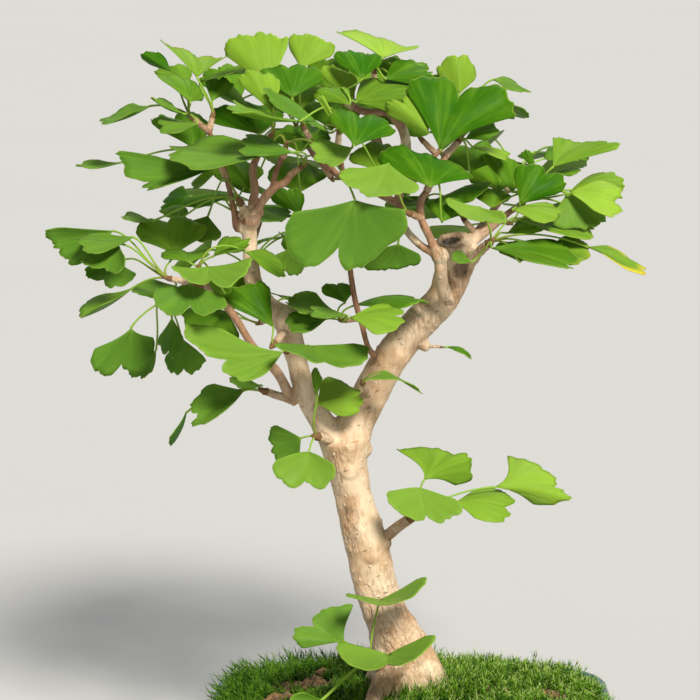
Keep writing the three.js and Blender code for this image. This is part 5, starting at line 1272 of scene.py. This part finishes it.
POT_SIDES = 128
FOOT_SIDES = 48
DRAIN_SIDES = 32
SOIL_EDGE_DROP = 5
MAT_SINK = 2.0

# Bare places where the soil's grains show: x, y and the half-widths across and along.
BARE = [(-56, 11, 20, 8), (-71, -8, 10, 7), (-49, 30, 8, 4), (28, 9, 5, 4), (38, 1, 4, 3),
        (70, 1, 6, 5), (-30, -38, 14, 8), (10, -55, 12, 6), (60, -44, 9, 6), (-10, 58, 7, 4)]
# The first of them that the picture shows; the moss in front of these is lower.
BARE_SHOWN = BARE[:6]

# The moss shoots: their grid in mm, their size, and how they stand.
MOSS_SEED = 5
MOSS_PITCH = 1.75
ROW_SHARE = 0.87
MOSS_JITTER = 0.8
MOSS_HEIGHT = 8.0
MOSS_LEAVES = 9
MOSS_LEAN = 0.22
MOSS_LIMIT = 0.985
MOSS_ACROSS = 0.34
SHOOT_SINK = 2.6
CLEAR_OF_WOOD = 0.0006
RIM_ZONE = (0.84, 0.97)
SIDEWAYS_LEAN = [1.0, 0.45]

FULL_TURN = 6.28
GRAIN_SEED = 3
GRAINS_PER_AREA = 0.62
STRAY_GRAINS = 60
GRAIN_RADIUS = (1.1, 2.2)

# The pot's foot and wall as inset, height, wear of its edge and bareness of its clay; then its
# lip and inside the same way, but with depth below the rim for height.
WALL_RISE = POT_HEIGHT - 25 - FOOT_HEIGHT
WALL_SPREAD = FOOT_INSET - BODY_INSET - 3
FOOT_PROFILE = [(FOOT_INSET + 3, FOOT_HEIGHT, 0.0, 1.0), (FOOT_INSET + 1.2, FOOT_HEIGHT + 0.5, 0.2, 1.0),
                (FOOT_INSET, FOOT_HEIGHT + 3, 0.1, 0.4)]
WALL_PROFILE = [(FOOT_INSET - WALL_SPREAD * t ** 0.85, FOOT_HEIGHT + 3 + WALL_RISE * t, 0.0, 0.0)
                for t in (0.15, 0.3, 0.5, 0.7, 0.85, 1.0)]
LIP_PROFILE = [
    (BODY_INSET + 1.2, 14, 0.0, 0.0), (BODY_INSET, 8.6, 0.0, 0.0), (BODY_INSET - 0.3, 7.6, 0.25, 0.0),
    (2.2, 6.9, 0.3, 0.0), (1.0, 6.4, 0.9, 0.0), (0.3, 5.6, 0.8, 0.0), (0.0, 4.2, 0.3, 0.0),
    (0.0, 2.0, 0.4, 0.0), (0.35, 0.9, 0.9, 0.0), (1.1, 0.2, 1.0, 0.0), (2.2, 0, 0.5, 0.0),
    (WALL - 2.0, 0, 0.4, 0.0), (WALL - 0.9, 0.25, 0.9, 0.0), (WALL - 0.2, 1.0, 1.0, 0.0),
    (WALL, 2.2, 0.4, 0.2), (WALL, 8, 0.0, 0.8), (WALL + 4, 22, 0.0, 1.0),
    (FOOT_INSET + WALL, POT_HEIGHT - FLOOR_TOP, 0.0, 1.0),
]
# A foot's rings: half-width, height and bareness.
FOOT_RINGS = [(11, 0, 1), (11.6, 0.25, 1), (12, 1, 0.9), (12.6, 3, 0.2), (13.4, 6, 0),
              (14, FOOT_HEIGHT + 1.5, 0)]


def rounded(half_x, half_y, corner):
    """Points round a rounded rectangle, evenly spaced along its corners and sides."""
    corner_steps = POT_SIDES // 8
    side_steps = POT_SIDES // 4 - corner_steps
    arcs = []
    for quarter, (sign_x, sign_y) in enumerate(((1, 1), (-1, 1), (-1, -1), (1, -1))):
        centre = np.array([sign_x * (half_x - corner), sign_y * (half_y - corner)])
        turn = (quarter + np.arange(corner_steps + 1) / corner_steps) * np.pi / 2
        arcs.append(centre + corner * np.stack([np.cos(turn), np.sin(turn)], axis=1))
    points = []
    for arc, following in zip(arcs, arcs[1:] + arcs[:1]):
        points.extend(arc)
        points.extend(arc[-1] * (1 - t) + following[0] * t for t in np.arange(1, side_steps) / side_steps)
    return np.array(points)


def pot_ring(inset, z):
    """A ring of points round the pot, set in from its rim."""
    flat = rounded(RIM_HALF[0] - inset, RIM_HALF[1] - inset, RIM_CORNER - inset)
    return np.column_stack([flat, np.full(len(flat), z)])


def outness(x, y):
    """How far out in the pot a place is: 0 in the middle, 1 at the wall."""
    fx = np.abs(x) / (RIM_HALF[0] - WALL)
    fy = np.abs(y) / (RIM_HALF[1] - WALL)
    return (fx ** 4 + fy ** 4) ** 0.25


def soil_top(x, y):
    """The height of the soil, as the CAD has it."""
    out = np.minimum(outness(x, y), 1)
    lumps = (0.9 * np.sin(0.11 * x + 1) * np.sin(0.13 * y)
             + 0.5 * np.sin(0.23 * x) * np.cos(0.19 * y + 2))
    return POT_HEIGHT - SOIL_EDGE_DROP + SOIL_RISE * (1 - out ** 3.6) + lumps * (1 - out)


def moss_top(x, y):
    """The height of the moss, as the CAD has it."""
    out = np.minimum(outness(x, y), 1)
    tufts = (0.8 * np.sin(0.31 * x + 0.7) * np.sin(0.36 * y + 0.2)
             + 0.5 * np.sin(0.17 * x - 0.21 * y))
    return soil_top(x, y) + GAP + MOSS_THICK + tufts * (1 - out ** 6)


def bareness(x, y):
    """How bare of moss a place is, from 0 to 1, with a wandering edge."""
    best = 0.0
    for bx, by, rx, ry in BARE:
        wobble = 0.25 * noise.noise(Vector((x * 0.16, y * 0.16, bx)))
        best = max(best, 1 - math.hypot((x - bx) / rx, (y - by) / ry) + wobble)
    return min(max(best * 3.0 + 0.3, 0.0), 1.0)


def make_mat(material):
    """A closed, lumpy layer of moss from wall to wall, under the shoots."""
    rim = pot_ring(WALL + GAP, 0.0)[:, :2]
    over, under, bare = [], [], []
    for share in (1.0, 0.975, 0.95, *np.linspace(0.92, 0.03, 40)):
        flat = rim * share
        x, y = flat[:, 0], flat[:, 1]
        hush = np.array([bareness(a, b) for a, b in flat])
        lumps = np.array([noise.fractal(Vector((a * 0.28, b * 0.28, 0)), 1.0, 2.0, 3) for a, b in flat])
        top = moss_top(x, y) - MAT_SINK + 0.9 * lumps * min(1, (1 - share) * 12) - 1.2 * hush
        over.append(np.column_stack([flat, top]))
        under.append(np.column_stack([flat, soil_top(x, y) + GAP]))
        bare.append(hush)
    points, faces = stack(under[::-1] + over, [0, 0, float(soil_top(0, 0)) + GAP],
                          [0, 0, float(moss_top(0, 0)) - MAT_SINK])
    hush = np.concatenate([np.zeros(len(under) * len(rim)), *bare, [0, 0]])
    shape = Shape()
    shape.add(points, faces, tip=0.25, tone=0.4, bare=hush)
    add_piece("moss_mat", shape.mesh("moss_mat"), material, "moss", "moss")


def step_at(low, high, x):
    return float(smoothstep(low, high, x))


def shoot_height(x, y, over_rim, from_wood):
    """How tall the moss is at a place: tall by the trunk and the rim, low in front of bare soil."""
    at_trunk = step_at(16, 5, from_wood) * step_at(2, -6, y) * step_at(-12, -4, x)
    tall = 1 + 0.35 * noise.noise(Vector((x * 0.07, y * 0.07, 4)))
    tall += (0.45 if x > 0 else 0.65) * over_rim + (1.3 if x > 14 else 0.7) * at_trunk
    tall *= 0.85 if x > 45 else 1.0
    for bx, by, rx, ry in BARE_SHOWN:
        tall *= 1 - 0.55 * math.exp(-((x - bx) / rx) ** 2 - ((y - by + ry + 7) / 9) ** 2)
    return tall


def make_shoots(material, wood):
    """Moss shoots all over the mat, clear of the wood, that lie out over the rim."""
    tree = BVHTree.FromObject(wood, bpy.context.evaluated_depsgraph_get())
    chance = random.Random(MOSS_SEED)
    quarters = {"front_left": [], "front_right": [], "rear_left": [], "rear_right": []}
    row_pitch = MOSS_PITCH * ROW_SHARE
    places = [(i, j) for i in range(int(2 * RIM_HALF[1] / row_pitch))
              for j in range(int(2 * RIM_HALF[0] / MOSS_PITCH))]
    for i, j in places:
        x = -RIM_HALF[0] + (j + 0.5 * (i % 2)) * MOSS_PITCH + chance.uniform(-MOSS_JITTER, MOSS_JITTER)
        y = -RIM_HALF[1] + i * row_pitch + chance.uniform(-MOSS_JITTER, MOSS_JITTER)
        size = chance.uniform(0.7, 1.3)
        turn = chance.uniform(0, FULL_TURN)
        tone = chance.random()
        lean = np.array([chance.gauss(0, MOSS_LEAN), chance.gauss(0, MOSS_LEAN)])
        out = float(outness(x, y))
        if out > MOSS_LIMIT or chance.random() < bareness(x, y) * 1.15:
            continue
        root = np.array([x, y, float(moss_top(x, y)) - SHOOT_SINK])
        probe = Vector(to_world(root + [0, 0, 1.5]))
        place, way, _, far = tree.find_nearest(probe)
        if (probe - place).dot(way) < 0 or far < CLEAR_OF_WOOD:
            continue
        over_rim = step_at(*RIM_ZONE, out) * (1.0 if x < 20 else 0.75)
        droop = chance.uniform(0.6, 2.0) * (1.0 if x > 0 else 1.25)
        outward = 0.25 * max(0.0, out - 0.7) + 0.80 * droop * over_rim
        lean = lean + unit([x, y]) * SIDEWAYS_LEAN * outward
        wild = 1.35 if chance.random() < 0.05 else 1.0
        clump = noise.noise(Vector((x * 0.22, y * 0.22, 9)))
        # The tone drops towards the left of the pot: painted shade, where the crown shades the moss.
        tone = min(max(1.1 * tone + 0.8 * clump, 0.0), 1.0) * (0.55 + 0.45 * step_at(-45, 25, x))
        height = MOSS_HEIGHT * size * shoot_height(x, y, over_rim, far * MILLIMETRES) * wild
        side = ("front" if y < 0 else "rear") + ("_left" if x < 0 else "_right")
        quarters[side].append((*root, *lean, height, turn, tone))
    for side, rows in quarters.items():
        name = "moss_shoots_" + side
        add_piece(name, moss_shoots(np.array(rows)).mesh(name), material, "moss")


def moss_shoots(rows):
    """Shoots of narrow leaves: the low ones spread, the top ones stand. Each leaf is a thin spike."""
    root, lean, (height, turn, tone) = rows[:, :3], rows[:, 3:5], rows[:, 5:].T
    stem = unit(np.column_stack([lean, np.ones(len(rows))]))
    side = unit(np.cross(stem, [0.3, 1.0, 0.0]))
    other = np.cross(stem, side)
    tall = height[:, None]
    first = 4 * np.arange(len(rows))[:, None]
    faces = np.concatenate([first + face for face in ((0, 2, 1), (0, 1, 3), (1, 2, 3), (2, 0, 3))]).tolist()
    shape = Shape()
    for k in range(MOSS_LEAVES):
        angle = (turn + k * 2.4)[:, None]
        out = side * np.cos(angle) + other * np.sin(angle)
        part = k / (MOSS_LEAVES - 1)
        if part < 1:
            foot = root + stem * tall * (0.08 + 0.72 * part)
            way, length, low = unit(stem + out * (1.25 - 0.75 * part)), 0.36, 0.15 + 0.65 * part
        else:
            foot, way, length, low = root, stem, 0.98, 0.15
        flank = unit(np.cross(way, out)) * MOSS_ACROSS
        back = unit(np.cross(flank, way)) * 0.22
        spikes = np.stack([foot + flank, foot - flank, foot + back, foot + way * tall * length], axis=1)
        shape.add(spikes.reshape(-1, 3), faces, tip=np.tile([low, low, low, 1.0], len(rows)),
                  tone=np.repeat(tone, 4), bare=0)
    return shape


def grain_ball():
    """Points and faces of a ball of 80 triangles: an icosahedron whose faces are cut in four."""
    golden = (1 + 5 ** 0.5) / 2
    corners = [tuple(unit(p)) for p in (
        (-1, golden, 0), (1, golden, 0), (-1, -golden, 0), (1, -golden, 0),
        (0, -1, golden), (0, 1, golden), (0, -1, -golden), (0, 1, -golden),
        (golden, 0, -1), (golden, 0, 1), (-golden, 0, -1), (-golden, 0, 1))]
    index, faces = {}, []

    def between(a, b):
        key = (min(a, b), max(a, b))
        if key not in index:
            corners.append(tuple(unit(np.array(corners[a]) + corners[b])))
            index[key] = len(corners) - 1
        return index[key]

    for a, b, c in (
            (0, 11, 5), (0, 5, 1), (0, 1, 7), (0, 7, 10), (0, 10, 11), (1, 5, 9), (5, 11, 4),
            (11, 10, 2), (10, 7, 6), (7, 1, 8), (3, 9, 4), (3, 4, 2), (3, 2, 6), (3, 6, 8),
            (3, 8, 9), (4, 9, 5), (2, 4, 11), (6, 2, 10), (8, 6, 7), (9, 8, 1)):
        ab, bc, ca = between(a, b), between(b, c), between(c, a)
        faces += [(a, ab, ca), (b, bc, ab), (c, ca, bc), (ab, bc, ca)]
    return np.array(corners), faces


def make_grains(material):
    """Fired clay grains in the bare places, and a few strays on the moss."""
    chance = random.Random(GRAIN_SEED)
    ball, faces = grain_ball()
    placed = []
    for bx, by, rx, ry in BARE:
        for _ in range(int(rx * ry * GRAINS_PER_AREA)):
            turn, far = chance.uniform(0, FULL_TURN), math.sqrt(chance.random()) * 1.05
            placed.append((bx + rx * far * math.cos(turn), by + ry * far * math.sin(turn)))
    placed += [(chance.uniform(-85, 85), chance.uniform(-60, 60)) for _ in range(STRAY_GRAINS)]
    shape = Shape()
    for x, y in placed:
        radius = chance.uniform(*GRAIN_RADIUS)
        warp = Vector([chance.uniform(0, 50) for _ in range(3)])
        bulge = np.array([1 + 0.32 * noise.noise(Vector(p) * 1.3 + warp) for p in ball])
        scale = [chance.uniform(0.8, 1.2), chance.uniform(0.8, 1.2), chance.uniform(0.65, 0.95)]
        angle = chance.uniform(0, FULL_TURN)
        cos, sin = math.cos(angle), math.sin(angle)
        body = (ball * bulge[:, None] * scale * radius) @ np.array([[cos, sin, 0], [-sin, cos, 0], [0, 0, 1]])
        lift = chance.uniform(-0.2, 0.9) * radius + 1.0
        centre = np.array([x, y, float(moss_top(x, y)) - SHOOT_SINK + lift])
        shape.add(body + centre, faces, tone=chance.random(), bare=1, tip=0)
    add_piece("soil_grains", shape.mesh("soil_grains"), material, "soil")


def make_pot(material):
    """The glazed pot: one turned section round a rounded rectangle, four feet, two drain holes."""
    profile = FOOT_PROFILE + WALL_PROFILE
    profile += [(inset, POT_HEIGHT - drop, edge, bare) for inset, drop, edge, bare in LIP_PROFILE]
    points, faces = stack([pot_ring(inset, z) for inset, z, _, _ in profile],
                          [0, 0, FOOT_HEIGHT], [0, 0, FLOOR_TOP])
    shape = Shape()
    shape.add(points, faces, edge=np.append(np.repeat([row[2] for row in profile], POT_SIDES), [0, 0]),
              bare=np.append(np.repeat([row[3] for row in profile], POT_SIDES), [1, 1]))
    for sx in (-1, 1):
        for sy in (-1, 1):
            foot_shape(shape, sx * FOOT_X, sy * FOOT_Y)
    piece = add_piece("glazed_pot", shape.mesh("glazed_pot"), material, "glaze", "pot")
    for side in (-1, 1):
        bore(piece, side * DRAIN_X)


def foot_shape(shape, x, y):
    """A low squarish foot, wider across than along, that flares up into the pot's floor."""
    angles = round_angles(FOOT_SIDES)
    squared = (np.cos(angles) ** 6 + np.sin(angles) ** 6) ** (-1 / 6)
    rings = [np.column_stack([x + (half + 4) * squared * np.cos(angles),
                              y + (half - 1) * squared * np.sin(angles), np.full(FOOT_SIDES, float(z))])
             for half, z, _ in FOOT_RINGS]
    points, faces = stack(rings, [x, y, FOOT_RINGS[0][1]], [x, y, FOOT_RINGS[-1][1]])
    bare = np.append(np.repeat([row[2] for row in FOOT_RINGS], FOOT_SIDES), [1, 0])
    shape.add(points, faces, edge=0.15, bare=bare)


def bore(piece, x):
    """Cuts a drain hole through the pot's floor."""
    angles = round_angles(DRAIN_SIDES)
    low, high = FOOT_HEIGHT - 5.0, FLOOR_TOP + 6.0
    rings = [np.column_stack([x + DRAIN_RADIUS * np.cos(angles), DRAIN_RADIUS * np.sin(angles),
                              np.full(DRAIN_SIDES, z)]) for z in (low, high)]
    cutter = Shape()
    cutter.add(*stack(rings, [x, 0, low], [x, 0, high]), edge=0.0, bare=1.0)
    tool = new_object("cutter", cutter.mesh("cutter"))
    cut = piece.modifiers.new("drain", "BOOLEAN")
    cut.operation = "DIFFERENCE"
    cut.solver = "EXACT"
    cut.object = tool
    made = evaluated_mesh(piece)
    piece.modifiers.remove(cut)
    piece.data = made
    bpy.data.objects.remove(tool)


# ---------------------------------------------------------------- stage

FLOOR_HALF = 30.0
SKY_COLOUR = (0.96, 0.98, 1.0, 1)
SKY_STRENGTH = 0.34
# Name, bearing and height in degrees, strength, width in degrees and colour of each light.
LIGHTS = [("key", 20, 41, 4.4, 14, (1.0, 0.96, 0.88)), ("rim", 165, 55, 0.7, 25, (1.0, 1.0, 1.0))]


def make_floor():
    """A plain pale floor, far wider than the view."""
    mesh = bpy.data.meshes.new("floor")
    corners = [(sx * FLOOR_HALF, sy * FLOOR_HALF, 0) for sx, sy in ((-1, -1), (1, -1), (1, 1), (-1, 1))]
    mesh.from_pydata(corners, [], [(0, 1, 2, 3)])
    mesh.materials.append(floor_material())
    new_object("floor", mesh)


def make_lights():
    """Soft studio light: an even sky, a warm sun in front and a faint one behind."""
    world = bpy.data.worlds.new("studio")
    bpy.context.scene.world = world
    world.use_nodes = True
    sky = world.node_tree.nodes["Background"]
    sky.inputs["Color"].default_value = SKY_COLOUR
    sky.inputs["Strength"].default_value = SKY_STRENGTH
    for name, bearing, height, power, width, colour in LIGHTS:
        light = bpy.data.lights.new(name, "SUN")
        light.energy = power
        light.angle = math.radians(width)
        light.color = colour
        turn, rise = math.radians(bearing), math.radians(height)
        way = Vector((math.sin(turn) * math.cos(rise), -math.cos(turn) * math.cos(rise), math.sin(rise)))
        new_object(name, light).rotation_euler = way.to_track_quat("Z", "Y").to_euler()


def make_camera():
    """The camera stands at the picture's angle: in front, a little above, level with the crown."""
    data = bpy.data.cameras.new("camera")
    data.sensor_width = SENSOR
    data.lens = SENSOR * EYE_DISTANCE / VIEW_WIDTH
    data.clip_end = 100.0
    camera = new_object("camera", data)
    camera.location = to_world([LOOK_AT_X, -EYE_BACK, LOOK_AT_Z + EYE_RISE])
    camera.rotation_euler = (math.pi / 2 - EYE_PITCH, 0, 0)
    bpy.context.scene.camera = camera


def dress_frame(soil, screen):
    """Gives the CAD nodes that stay in sight their own materials."""
    for name, material in (("soil", soil), ("drain_screen_left", screen), ("drain_screen_right", screen)):
        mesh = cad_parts[name].data
        mesh.materials.clear()
        mesh.materials.append(material)


make_camera()
make_floor()
make_lights()
bpy.context.scene.view_settings.view_transform = "Standard"
make_leaves(leaf_material())
bark = bark_material()
wood = make_wood(bark)
make_spurs(bark)
moss = moss_material()
make_mat(moss)
make_shoots(moss, wood)
soil = soil_material()
make_grains(soil)
make_pot(glaze_material())
dress_frame(soil, mesh_material())
